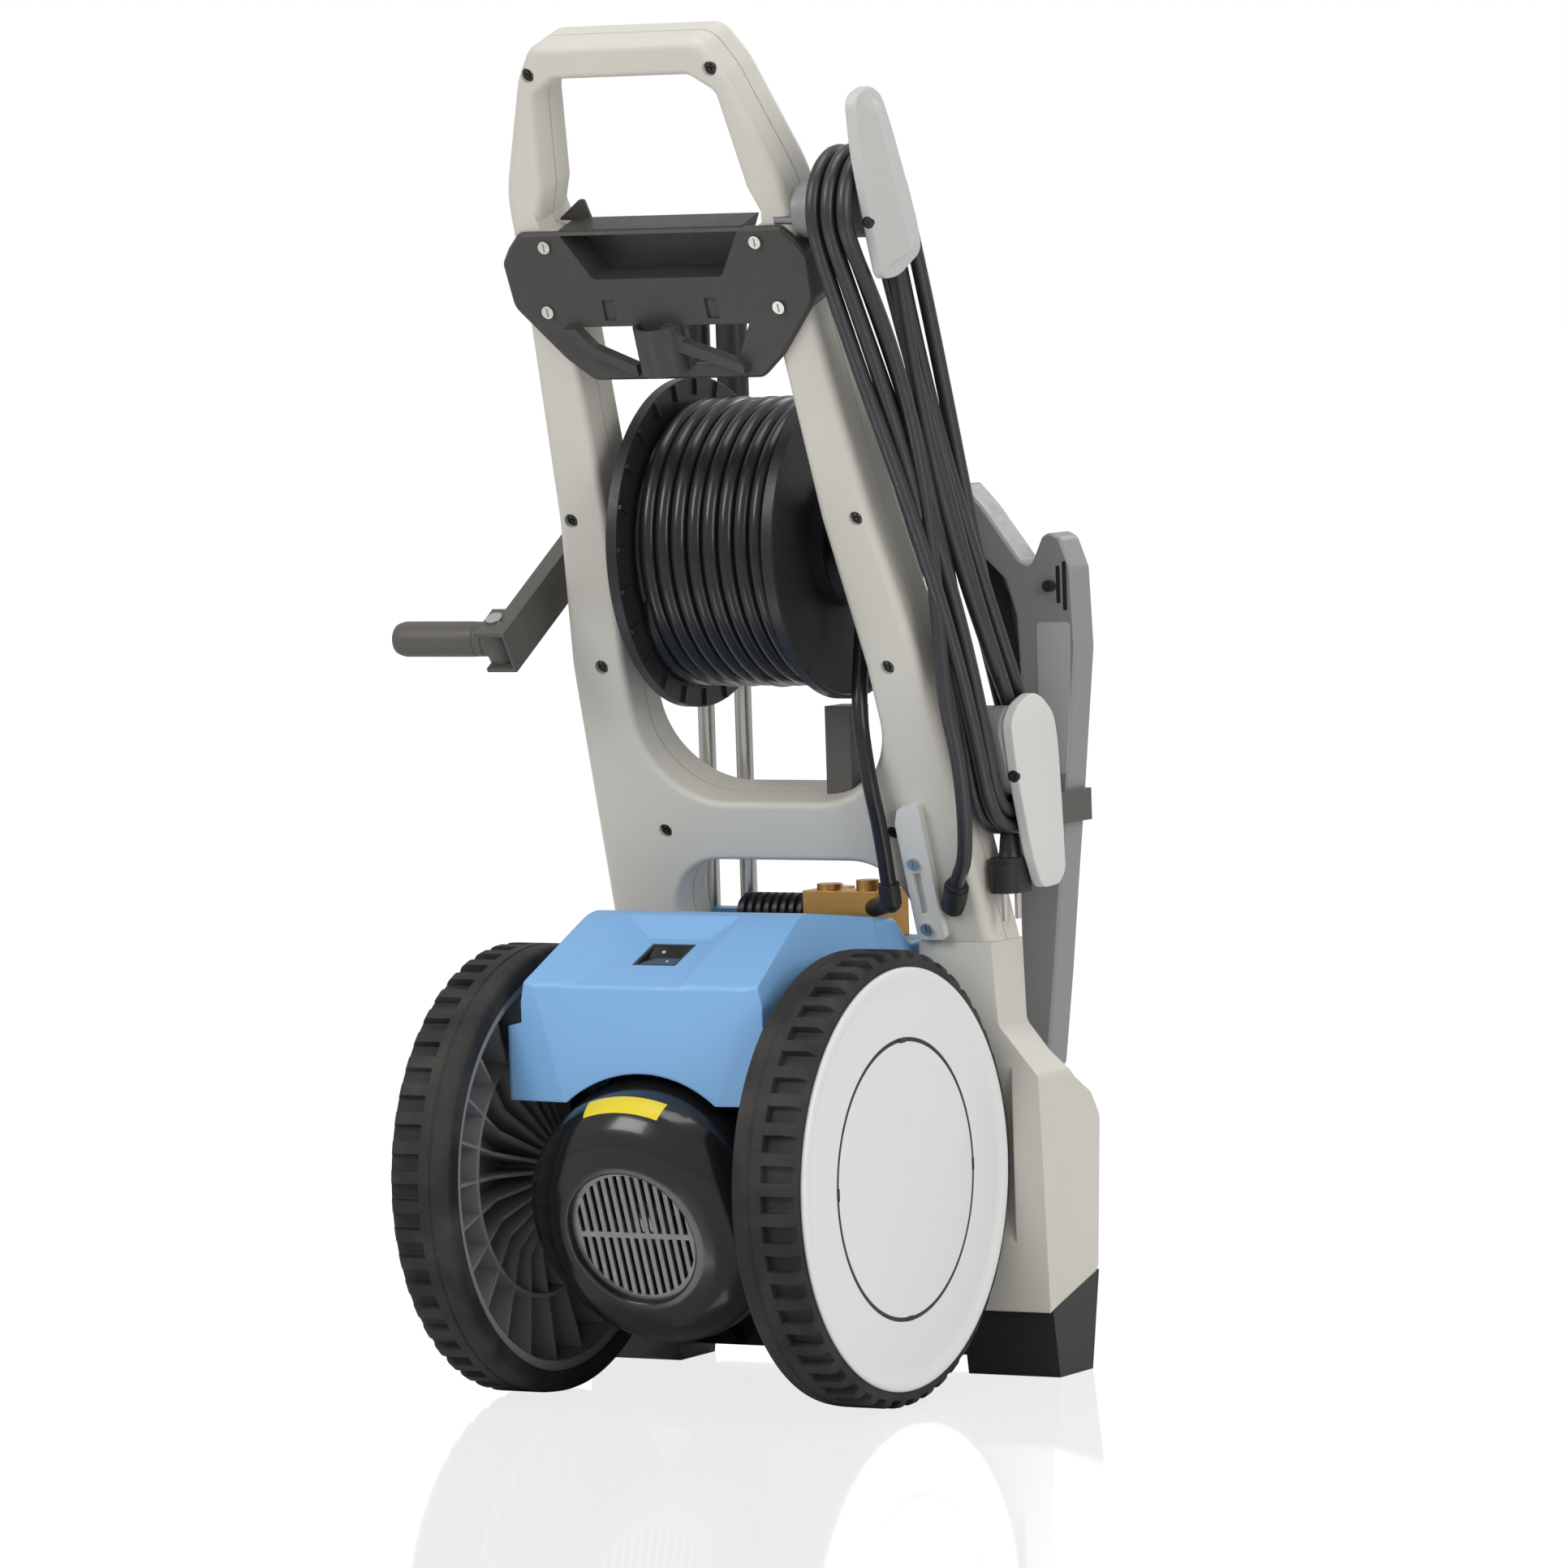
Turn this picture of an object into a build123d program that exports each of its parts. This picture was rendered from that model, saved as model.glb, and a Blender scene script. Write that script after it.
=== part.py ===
"""Upright pressure washer on two wheels, with a hose drum, cable hooks, gun and two lances.

Every piece is its own solid and its own file. Sizes are in millimetres, +Z is up, +Y is the
rear (motor side) and +X is the crank side. Pieces are drawn about the wheel axle's middle and
moved at export, so that the origin is the bottom centre of the whole machine.
"""
from build123d import *
import os
from math import cos, pi, radians, sin, sqrt, tan

# ------------------------------------------------------------------ general
GAP = 0.3                  # clear air between pieces that move apart
RUNNING = 0.05             # radial clearance of a shaft in its bore
WALL = 3.0                 # wall of the moulded covers
LEAN = 19.4                # lean of the frame and of the motor, degrees

# ------------------------------------------------------------------ wheels
WHEEL_RADIUS = 154.0
TYRE_INNER_X = 109.0       # inner edge of the tread, from the middle plane
TYRE_WIDTH = 47.5
TYRE_WALL = 15.0           # tread and band, in the radius
TREAD_NOTCHES = 48
NOTCH_LENGTH = 24.0        # along the axle, open at the outer shoulder
NOTCH_WIDTH = 11.0
NOTCH_DEPTH = 4.5
RIM_BAND = 7.0
RIM_RIBS = 24
RIM_RIB_THICK = 2.4
RIM_WEB = 3.5
RIM_RING_RADIUS = 88.0
HUB_RADIUS = 19.0
HUB_INNER_X = 104.0
HUB_OUTER_X = 150.0
HUBCAP_FACE = 3.4          # how far the cap stands out of the tyre's side
TYRE_SIDE = 11.5           # tyre's side seen outside the cap
HUBCAP_RIM = 13.0          # width of the raised outer rim
GROOVE_RADIUS = 94.0
GROOVE_DEPTH = 1.3
AXLE_RADIUS = 8.0
AXLE_COLLAR = 13.0         # boss of the tray round the axle
AXLE_END_X = 153.5
AXLE_HEAD_RADIUS = 14.0
AXLE_HEAD_THICK = 2.0

# ------------------------------------------------------------------ leaning frame
FRAME_FOOT_Y = -250.2      # where the rear face would meet the floor
FRAME_DEPTH = 44.0         # over both shells
FRAME_TOP_Z = 919.0
FRAME_END_Z = 300.0        # where the columns enter the side covers
TOP_HALF = 66.0            # half widths of the outline, from the top down
SHOULDER_HALF = 81.0
SHOULDER_Z = 896.0
GRIP_FOOT_HALF = 109.0
GRIP_FOOT_Z = 820.0
WAIST_HALF = 112.0
WAIST_Z = 732.0
DRUM_HALF = 123.0
DRUM_HALF_Z = 596.0
KNEE_HALF = 138.0
KNEE_Z = 493.0
LEG_HALF = 149.0
HANDLE_TOP_HALF = 52.0     # handle opening
HANDLE_TOP_Z = 895.5
HANDLE_SIDE_HALF = 70.0
HANDLE_SIDE_Z = 884.0
HANDLE_MID_HALF = 79.0
HANDLE_LOW_HALF = 87.0
HANDLE_LOW_Z = 797.0
POCKET_HALF = 76.0         # part of the opening behind the holder plate
POCKET_LOW_Z = 757.0
CROSS_LOW_Z = 733.0        # lower edge of the cross member
WINDOW_HALF = 79.0         # drum window, from the top down
WINDOW_MID_HALF = 84.0
WINDOW_KNEE_HALF = 95.0
WINDOW_LOW_HALF = 98.0
BAR_TOP_Z = 397.0          # cross bar under the drum
BAR_LOW_Z = 355.0
LEG_INNER_HALF = 93.0
WINDOW_ROUND = 60.0
LEG_ROUND = 42.0
EDGE_ROUND = 7.0           # outer edges, and the edges of the openings
INNER_ROUND = 5.0
SEAM = 0.7                 # groove round the joint of the shells
SCREW_RECESS = 5.0
SCREW_RECESS_DEPTH = 6.0
SCREW_SHANK = 2.0
BOSS_RADIUS = 8.5
FRAME_SCREWS = ((70.5, 899.5), (111.6, 595.6), (112.7, 492.8), (89.9, 376.3))

# ------------------------------------------------------------------ holder plate
PLATE_THICK = 5.0
PLATE_TOP_Z = 795.0
PLATE_TOP_HALF = 102.0
PLATE_HALF = 119.0
PLATE_LOW_HALF = 66.0
PLATE_LOW_Z = 694.0
PLATE_WRAP = 24.0          # how far the plate's sides reach round the columns
TROUGH_HALF = 69.0
TROUGH_LOW_HALF = 50.0
TROUGH_LOW_Z = 763.0
TROUGH_DEPTH = 24.0
SHELF_Z = 735.0
SHIELD_RADIUS = 17.5
SHIELD_X = 6.5
PLATE_SCREWS = ((82.0, 786.0), (-82.0, 786.0), (-90.0, 742.0), (90.0, 742.0))
PANEL_SCREW_HEAD = 2.2
BRACKET_THICK = 6.5
BRACKET_SCREW_X = -106.0
BRACKET_SCREWS_Z = (358.0, 312.0)

# ------------------------------------------------------------------ drum, hose and crank
DRUM_Y = -118.0
DRUM_Z = 577.0
FLANGE_RADIUS = 114.0
FLANGE_RIGHT_RADIUS = 108.0
FLANGE_X = 58.0            # outer face of the flanges
FLANGE_THICK = 3.0
FLANGE_RIBS = 24
BARREL_RADIUS = 52.0
BARREL_WALL = 3.0
HOSE_DIAMETER = 12.0
HOSE_PITCH = 12.2
HOSE_TURNS = 9
HOSE_OUTER_RADIUS = 100.0
DRUM_SHAFT_RADIUS = 12.0
SWIVEL_RADIUS = 18.0
BEARING_X = 84.0           # inner face of the drum bearings
BEARING_WIDTH = 22.0
BEARING_RADIUS = 24.0
ARM_X = 141.6              # inner face of the crank arm
ARM_DEPTH = 13.0
ARM_HALF = 16.0
ARM_WALL = 2.8
ARM_FLOOR = 2.2            # web of the channel
CRANK_RADIUS = 117.1       # drum axis to grip axis
CRANK_ANGLE = -31.4        # arm's direction in the side view, from straight back
KNUCKLE_X = 157.2
KNUCKLE_RADIUS = 12.4
GRIP_X = 166.7
GRIP_END_X = 241.0
GRIP_RADIUS = 12.3
SPINDLE_RADIUS = 5.0
FOLD_PIN_RADIUS = 4.0

# ------------------------------------------------------------------ hooks and cable
CABLE_DIAMETER = 10.5
HOOK_PLATE_X = 172.0       # inner face of the hook plates
HOOK_PLATE_THICK = 12.0
UPPER_NECK = (13.0, 804.0)
UPPER_NECK_RADIUS = 19.0
LOWER_NECK = (-151.0, 418.0)
LOWER_NECK_RADIUS = 17.0
LOWER_NECK_RISE = 28.0
HOOK_PIVOT_RADIUS = 7.0
HOOK_SCREW_RECESS = 4.4
COIL_X = 149.4             # inner side of the wound cable
COIL_TOP = (10.0, 779.0)   # centre of the cable's upper bend
COIL_TOP_RADIUS = 70.0
COIL_LOW = (-152.0, 414.0)
COIL_LOW_RADIUS = 42.0
COIL_BAND = 21.0           # thickness of the wound band in the side view
GLAND = (-128.0, 330.0)
CABLE_ROUTE = ((-148, -113, 358), (-154, -104, 382), (-156.5, -97.5, 409),
               (-159, -92, 436), (-159, -86, 462))
PLUG = (-160.2, -156.0, 368.0)
PLUG_HALF = 17.0
PLUG_HALF_THICK = 11.0
PIN_RADIUS = 2.4
PIN_LENGTH = 19.0
PIN_SPACING = 19.0

# ------------------------------------------------------------------ base, covers and bonnet
FOOT_HALF = 186.5
FOOT_INNER = 115.0
COVER_NECK_HALF = 149.0
COVER_NECK = (152.5, 243.0) # where the cover begins to flare
COVER_SHOULDER = (182.0, 208.0)
COVER_INNER = 93.0
COVER_REAR_Y = -146.0
COVER_FRONT_Y = -233.0
WHEEL_CLEAR = 4.0
RAIL_X = 82.0
RAIL_WIDTH = 10.0
POST_GAP = 6.0             # post's clearance behind the wheel
POST_DEPTH = 16.0
POST_X = (106.0, 140.0)
HOOD_HALF = 84.0
HOOD_FRONT_Y = -215.0
HOOD_TOP_Z = 300.0
HOOD_REAR_Z = 318.0
FRONT_TOP_Z = 205.0
BONNET_REAR_Y = 80.0
BONNET_FRONT_Y = -96.0
BONNET_HALF = 107.5
BONNET_UPPER_HALF = 94.0
BONNET_TOP_HALF = 82.0
BONNET_FACE_HALF = 60.0
BONNET_CORNER_Y = 74.0
BONNET_LOW_Z = 209.0
BONNET_LEDGE_Z = 262.0
BONNET_EDGE_Z = 289.0
BONNET_RIDGE_Y = -2.0
BONNET_TOP_Z = 332.0
ARCH_RADIUS = 97.0
SCOOP_REAR = (80.0, 287.0)  # floor of the switch's recess
SCOOP_FRONT = (12.0, 314.0)
SWITCH_PLACE = (5.5, 33.0)
SWITCH_LENGTH = 34.0
SWITCH_WIDTH = 32.0
SWITCH_DEPTH = 3.0

# ------------------------------------------------------------------ motor and pump
MOTOR_Y = 98.0             # middle of the fan grille
MOTOR_Z = 120.0
FAN_COVER_RADIUS = 91.0
FAN_COVER_LENGTH = 62.0
FAN_WALL = 2.5
GRILLE_RADIUS = 48.0
GRILLE_RECESS = 6.0
GRILLE_SLATS = 13
MOTOR_CORE = 64.0
MOTOR_RADIUS = 75.0
MOTOR_FINS = 28
ROTOR_RADIUS = 38.0
SHAFT_RADIUS = 9.0
FAN_RADIUS = 70.0
FAN_BLADES = 9
CRANKCASE_RADIUS = 58.0
HEAD_HALF = 46.0
TOWER_LOW = (-62, -188, 250)
TOWER_HIGH = (-4, -142, 334)
KNOB_X = -36.0
KNOB_Z = 256.0
KNOB_RADIUS = 20.0
FRONT_Y = -246.0           # foremost point, at the knob and the gun

# ------------------------------------------------------------------ gun and lances
GUN_FRONT_Y = -246.0
GUN_REAR_Y = -219.0
GUN_PIPE = (-142.0, 7.0)
GUN_OUTLINE = ((-94, 614), (-112, 595), (-140, 558), (-149, 554), (-158, 574), (-164, 577),
               (-172, 573), (-180, 552), (-182, 497), (-172, 396), (-166, 340), (-159, 272),
               (-151, 205), (-133, 205), (-133, 425), (-137, 450),
               (-138, 480), (-136, 520), (-128, 545), (-106, 566), (-84, 590))
TRIGGER_OUTLINE = ((-107, 560), (-113, 561), (-127, 536), (-133, 500), (-134, 486), (-152, 486),
                   (-152, 470), (-134, 466), (-127, 470), (-122, 500), (-117, 530))
TRIGGER_PIVOT = (-144.0, 478.0)
TRIGGER_THICK = 14.0
TRIGGER_TRAVEL = 5.0       # degrees
CATCH_PLACE = (-164.0, 540.0)
CATCH_RADIUS = 4.0
CATCH_TRAVEL = 5.0
LANCE_Y = -200.0
LANCE_X = (72.0, 102.0)
LANCE_RADIUS = 6.0
LANCE_FOOT_Z = 303.0
LANCE_TOP_Z = 748.0
LANCE_SLEEVE = 11.0

# ------------------------------------------------------------------ derived places
TILT = radians(LEAN)
WHEEL_OUTER_X = TYRE_INNER_X + TYRE_WIDTH
HUBCAP_RADIUS = WHEEL_RADIUS - TYRE_SIDE
POST_REAR_Y = -WHEEL_RADIUS - POST_GAP
POST = ((POST_X[0], POST_REAR_Y - POST_DEPTH), (POST_X[1], POST_REAR_Y))
FOOT_SIDE = ((-WHEEL_RADIUS - WHEEL_CLEAR, 0), (-206, 0), (-219, 67.5), (-160, 50.5), (-150, 46))
ORIGIN_X = (GRIP_END_X - FOOT_HALF) / 2
ORIGIN_Y = (WHEEL_RADIUS + FRONT_Y) / 2
YZ = Plane(origin=(0, 0, 0), x_dir=(0, 1, 0), z_dir=(1, 0, 0))
FRAME_PLANE = Plane(origin=(0, FRAME_FOOT_Y, 0), x_dir=(1, 0, 0), z_dir=(0, -cos(TILT), sin(TILT)))
MOTOR_PLANE = Plane(origin=(0, MOTOR_Y, MOTOR_Z), x_dir=(1, 0, 0), z_dir=(0, cos(TILT), -sin(TILT)))
ARM_PLANE = Plane(
    origin=(0, DRUM_Y, DRUM_Z),
    x_dir=(0, cos(radians(CRANK_ANGLE)), sin(radians(CRANK_ANGLE))),
    z_dir=(1, 0, 0),
)


# ------------------------------------------------------------------ helpers
def rounded(points, radii):
    """Polygon with one corner radius for each point, 0 for a sharp corner."""
    shape = Polygon(*points, align=None)
    for point, radius in zip(points, radii):
        if radius:
            corner = shape.vertices().sort_by_distance(Vector(*point, 0))[0]
            shape = fillet(corner, radius)
    return shape


def slab(sketch, low, high):
    """Solid over a flat sketch, between two heights."""
    return extrude(Pos(0, 0, low) * sketch, high - low, dir=(0, 0, 1))


def prism_x(sketch, low, high):
    """Solid between two X planes over a sketch drawn in (Y, Z)."""
    return extrude(YZ.offset(low) * sketch, high - low, dir=(1, 0, 0))


def prism_y(sketch, low, high):
    """Solid between two Y planes over a sketch drawn in (X, Z)."""
    return extrude(Plane.XZ.offset(-low) * sketch, high - low, dir=(0, 1, 0))


def outline(points):
    """Plain polygon through the points."""
    return Polygon(*points, align=None)


def box(low, high):
    """Solid box between two corners."""
    size = [high[i] - low[i] for i in range(3)]
    middle = [(high[i] + low[i]) / 2 for i in range(3)]
    return Pos(*middle) * Box(*size)


def rod(start, end, radius):
    """Round bar between two points."""
    axis = Vector(*end) - Vector(*start)
    plane = Plane(origin=start, z_dir=axis)
    return extrude(plane * Circle(radius), axis.length, dir=axis.normalized())


def disc(low, high, radius):
    """Round bar along local Z between two heights."""
    return Pos(0, 0, low) * Cylinder(radius, high - low, align=(Align.CENTER, Align.CENTER, Align.MIN))


def turned(points):
    """Solid of revolution about local Z from (radius, height) points."""
    return revolve(Plane.XZ * Polygon(*points, align=None), Axis.Z)


def around(count, shape):
    """Copies of a shape about local Z."""
    return [Rot(0, 0, 360 * i / count) * shape for i in range(count)]


def on_axle(shape):
    """Turns local Z to +X and sets the shape on the wheel axle."""
    return Pos(0, 0, WHEEL_RADIUS) * Rot(0, 90, 0) * shape


def on_drum(shape):
    """Turns local Z to +X and sets the shape on the drum's axis."""
    return Pos(0, DRUM_Y, DRUM_Z) * Rot(0, 90, 0) * shape


def mirrored(shape):
    """The same piece on the other side of the machine."""
    return mirror(shape, about=Plane.YZ)


def both_sides(points):
    """Closed outline from the points of its +X half, top to bottom."""
    return list(points) + [(-x, y) for x, y in reversed(points)]


def leaning(points):
    """Points given as (X, height) turned to (X, distance up the leaning face)."""
    return [(x, z / cos(TILT)) for x, z in points]


def on_frame(shape):
    """Sets a shape drawn on the flat at the frame's leaning rear face."""
    return FRAME_PLANE.location * shape


def on_motor(shape):
    """Sets a shape drawn along local Z on the motor's axis, +Z to the rear."""
    return MOTOR_PLANE.location * shape


# ------------------------------------------------------------------ wheels
def tyre():
    """Solid rubber band with notches over the outer half of the tread."""
    inner = WHEEL_RADIUS - TYRE_WALL
    body = turned([
        (inner, TYRE_INNER_X), (WHEEL_RADIUS - 4, TYRE_INNER_X), (WHEEL_RADIUS, TYRE_INNER_X + 4),
        (WHEEL_RADIUS, WHEEL_OUTER_X - 3), (WHEEL_RADIUS - 3, WHEEL_OUTER_X), (inner, WHEEL_OUTER_X),
    ])
    notch = box(
        (WHEEL_RADIUS - NOTCH_DEPTH, -NOTCH_WIDTH / 2, WHEEL_OUTER_X - NOTCH_LENGTH),
        (WHEEL_RADIUS + 5, NOTCH_WIDTH / 2, WHEEL_OUTER_X + 1),
    )
    return on_axle(body - around(TREAD_NOTCHES, notch))


def rim():
    """Moulded wheel: band, web with ribs on its inner side, thin ring and hub."""
    band = WHEEL_RADIUS - TYRE_WALL
    shape = disc(TYRE_INNER_X + 3, WHEEL_OUTER_X - 2.5, band) - disc(0, 200, band - RIM_BAND)
    web = disc(HUB_OUTER_X - RIM_WEB, HUB_OUTER_X, band - RIM_BAND + 1)
    hub = disc(HUB_INNER_X, HUB_OUTER_X, HUB_RADIUS)
    ring = disc(TYRE_INNER_X + 16, HUB_OUTER_X - 1, RIM_RING_RADIUS + 1.5)
    ring -= disc(0, 200, RIM_RING_RADIUS - 1.5)
    rib = prism_rib()
    shape = shape + web + hub + ring + around(RIM_RIBS, rib)
    return on_axle(shape - disc(0, 200, AXLE_RADIUS + RUNNING))


def prism_rib():
    """One radial rib of the wheel, deepest at the hub and at the band."""
    band = WHEEL_RADIUS - TYRE_WALL - RIM_BAND
    points = [
        (HUB_RADIUS - 1, HUB_INNER_X + 6), (60, TYRE_INNER_X + 20), (band + 1, TYRE_INNER_X + 12),
        (band + 1, HUB_OUTER_X - 1), (HUB_RADIUS - 1, HUB_OUTER_X - 1),
    ]
    face = Plane.XZ.offset(-RIM_RIB_THICK / 2) * Polygon(*points, align=None)
    return extrude(face, RIM_RIB_THICK, dir=(0, -1, 0))


def hubcap():
    """Dished cap with a raised rim, a round groove, clip marks and three pegs."""
    face = WHEEL_OUTER_X + HUBCAP_FACE
    inner = HUBCAP_RADIUS - HUBCAP_RIM
    body = turned([
        (0, WHEEL_OUTER_X), (HUBCAP_RADIUS, WHEEL_OUTER_X), (HUBCAP_RADIUS, face - 1.6),
        (HUBCAP_RADIUS - 1.6, face), (inner, face), (inner - 1.2, face - 1.0), (0, face - 0.6),
    ])
    groove = disc(face - GROOVE_DEPTH - 0.9, face + 1, GROOVE_RADIUS + 1)
    groove -= disc(0, 200, GROOVE_RADIUS - 1)
    mark = box((GROOVE_RADIUS - 8, -5, face - 2.2), (GROOVE_RADIUS, 5, face + 1))
    peg = Pos(60, 0, HUB_OUTER_X) * Cylinder(5, WHEEL_OUTER_X - HUB_OUTER_X + 1,
                                             align=(Align.CENTER, Align.CENTER, Align.MIN))
    return on_axle(body - groove - around(3, Rot(0, 0, 25) * mark) + around(3, peg))


def axle():
    """Stub axle screwed into the tray's rail, with a head that keeps the wheel on."""
    shape = disc(RAIL_X, AXLE_END_X, AXLE_RADIUS)
    head = disc(HUB_OUTER_X + GAP, HUB_OUTER_X + GAP + AXLE_HEAD_THICK, AXLE_HEAD_RADIUS)
    return on_axle(shape + head)



# ------------------------------------------------------------------ leaning frame
def frame_edge():
    """Outer outline of the frame on its rear face."""
    points = leaning([
        (TOP_HALF, FRAME_TOP_Z), (SHOULDER_HALF, SHOULDER_Z), (GRIP_FOOT_HALF, GRIP_FOOT_Z),
        (WAIST_HALF, WAIST_Z), (DRUM_HALF, DRUM_HALF_Z), (KNEE_HALF, KNEE_Z),
        (LEG_HALF + 1.8, FRAME_END_Z - 32),
    ])
    radii = [16, 40, 100, 0, 200, 150, 0]
    return rounded(both_sides(points), radii + radii[::-1])


def frame_openings():
    """Handle opening, drum window and the space between the legs."""
    handle = leaning([
        (HANDLE_TOP_HALF, HANDLE_TOP_Z), (HANDLE_SIDE_HALF, HANDLE_SIDE_Z),
        (HANDLE_MID_HALF, GRIP_FOOT_Z), (HANDLE_LOW_HALF, HANDLE_LOW_Z + 3),
        (HANDLE_LOW_HALF - 1, HANDLE_LOW_Z - 3), (POCKET_HALF, HANDLE_LOW_Z - 6),
        (POCKET_HALF, POCKET_LOW_Z),
    ])
    handle_radii = [10, 10, 0, 0, 0, 0, 4]
    window = leaning([
        (WINDOW_HALF, CROSS_LOW_Z), (WINDOW_MID_HALF, DRUM_HALF_Z), (WINDOW_KNEE_HALF, KNEE_Z),
        (WINDOW_LOW_HALF, BAR_TOP_Z),
    ])
    window_radii = [10, 0, 60, WINDOW_ROUND]
    legs = leaning([(LEG_INNER_HALF, BAR_LOW_Z), (LEG_INNER_HALF, FRAME_END_Z - 60)])
    legs_radii = [LEG_ROUND, 0]
    return [
        rounded(both_sides(handle), handle_radii + handle_radii[::-1]),
        rounded(both_sides(window), window_radii + window_radii[::-1]),
        rounded(both_sides(legs), legs_radii + legs_radii[::-1]),
    ]


def frame_face(inset=0.0):
    """Frame outline with its openings, drawn in by the inset on every side."""
    face = frame_edge()
    holes = frame_openings()
    if inset:
        face = offset(face, -inset, kind=Kind.INTERSECTION)
        holes = [offset(hole, inset, kind=Kind.INTERSECTION) for hole in holes]
    for hole in holes:
        face -= hole
    return face


def frame_blank():
    """Solid frame with rounded edges, before it is hollowed and split."""
    body = slab(frame_edge(), 0, FRAME_DEPTH)
    body = fillet(face_edges(body), EDGE_ROUND)
    for hole in frame_openings():
        body -= slab(hole, -1, FRAME_DEPTH + 1)
    inner = [edge for edge in face_edges(body) if abs(edge.center().X) < WINDOW_LOW_HALF + 1]
    inner = [edge for edge in inner if not in_pocket(edge.center())]
    return fillet(inner, INNER_ROUND)


def face_edges(body):
    """Edges of the frame's rear and front faces, without those at the columns' ends."""
    edges = body.edges().filter_by(
        lambda e: abs(e.center().Z) < 0.01 or abs(e.center().Z - FRAME_DEPTH) < 0.01
    )
    return [edge for edge in edges if edge.center().Y > (FRAME_END_Z - 31) / cos(TILT)]


def in_pocket(point):
    """True near the part of the handle opening that the holder plate covers."""
    low, high = (POCKET_LOW_Z - 2) / cos(TILT), (HANDLE_LOW_Z + 2) / cos(TILT)
    return low < point.Y < high


def frame_bosses():
    """Screw pillars through both shells."""
    pillar = disc(0.5, FRAME_DEPTH - 0.5, BOSS_RADIUS)
    pillars = [Pos(side * x, z / cos(TILT), 0) * pillar for x, z in FRAME_SCREWS for side in (1, -1)]
    small = disc(0.5, 20, 5.0)
    places = list(PLATE_SCREWS) + [(BRACKET_SCREW_X, z) for z in BRACKET_SCREWS_Z]
    return pillars + [Pos(x, z / cos(TILT), 0) * small for x, z in places]


def frame_drillings():
    """Recesses and bores for the screws, and the slots for the tray's posts."""
    bore = disc(-1, SCREW_RECESS_DEPTH, SCREW_RECESS) + disc(0, 39, SCREW_SHANK)
    bores = [Pos(side * x, z / cos(TILT), 0) * bore for x, z in FRAME_SCREWS for side in (1, -1)]
    small = disc(-1, 14, SCREW_SHANK)
    places = list(PLATE_SCREWS) + [(BRACKET_SCREW_X, z) for z in BRACKET_SCREWS_Z]
    return bores + [Pos(x, z / cos(TILT), 0) * small for x, z in places]


def frame_shells(blank):
    """Rear and front shells, hollow, with a groove round their joint."""
    half = FRAME_DEPTH / 2
    wide = frame_face(WALL)
    narrow = frame_face(WALL + 2.5)
    pillars = frame_bosses()
    cavity = slab(wide, WALL + 2.5, FRAME_DEPTH - WALL - 2.5)
    cavity += slab(narrow, WALL, WALL + 3) + slab(narrow, FRAME_DEPTH - WALL - 3, FRAME_DEPTH - WALL)
    for pillar in pillars:
        cavity -= pillar
    groove = slab(frame_edge(), half - SEAM, half) - slab(frame_face(SEAM), half - SEAM, half)
    shell = blank - cavity - frame_drillings()
    low = box((-300, 0, -5), (300, 1200, half))
    high = box((-300, 0, half), (300, 1200, FRAME_DEPTH + 5))
    rear = on_frame((shell & low) - groove) - below_frame()
    front = on_frame(shell & high) - below_frame()
    return rear, front + lance_clip()


def below_frame():
    """Room below the columns' ends."""
    return box((-300, -400, 100), (300, 0, FRAME_END_Z))


def column_plug():
    """Filling of both columns' ends, by which the base holds the frame."""
    face = frame_face(WALL) - box((-60, 0, -1), (60, 2000, 1))
    body = on_frame(slab(face, WALL + 2.5, FRAME_DEPTH - WALL - 2.5))
    body &= box((-300, -400, FRAME_END_Z - 8), (300, 0, FRAME_END_Z + 22))
    return body - [on_frame(pillar) for pillar in frame_bosses()]


def post_box(side):
    """Block of the base that stands up inside a column."""
    (x_low, y_low), (x_high, y_high) = POST
    xs = sorted((side * x_low, side * x_high))
    return box((xs[0], y_low, 40), (xs[1], y_high, FRAME_END_Z - 1))


def cross_screw(head_radius, head_height, length, sunk):
    """Pan-head screw along local Z with a cross slot, its head at the sunk depth."""
    head = disc(sunk, sunk + head_height, head_radius)
    slot = box((-0.6, -head_radius * 0.6, sunk - 1), (0.6, head_radius * 0.6, sunk + 1.2))
    cross = slot + Rot(0, 0, 90) * slot
    return head - cross + disc(sunk + head_height, length, SCREW_SHANK)


def frame_screws():
    """Eight screws that hold the shells together."""
    screw = cross_screw(SCREW_RECESS, 2.5, 38, SCREW_RECESS_DEPTH - 2.5)
    return [on_frame(Pos(side * x, z / cos(TILT), 0) * screw)
            for x, z in FRAME_SCREWS for side in (1, -1)]


def column_bracket():
    """Raised cover on the rear face of the lower right column."""
    points = leaning([(-97, 304), (-97, 386), (-101, 396), (-118, 401), (-118, 304)])
    body = slab(rounded(points, [2, 4, 4, 4, 2]), -BRACKET_THICK, 0)
    x = BRACKET_SCREW_X
    slot = box((x - 3, 322 / cos(TILT), -BRACKET_THICK - 1), (x + 3, 351 / cos(TILT), -2.5))
    holes = [Pos(x, z / cos(TILT), 0) * disc(-9, 1, SCREW_SHANK) for z in BRACKET_SCREWS_Z]
    return on_frame(body - slot - holes)



# ------------------------------------------------------------------ holder plate
def plate_outline():
    """Outline of the holder plate on the frame's rear face."""
    points = leaning([
        (PLATE_TOP_HALF, PLATE_TOP_Z), (112, 785), (PLATE_HALF, 775), (PLATE_HALF - 2, 745),
        (85, 709), (PLATE_LOW_HALF, PLATE_LOW_Z),
    ])
    radii = [6, 8, 8, 14, 20, 10]
    return rounded(both_sides(points), radii + radii[::-1])


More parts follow.
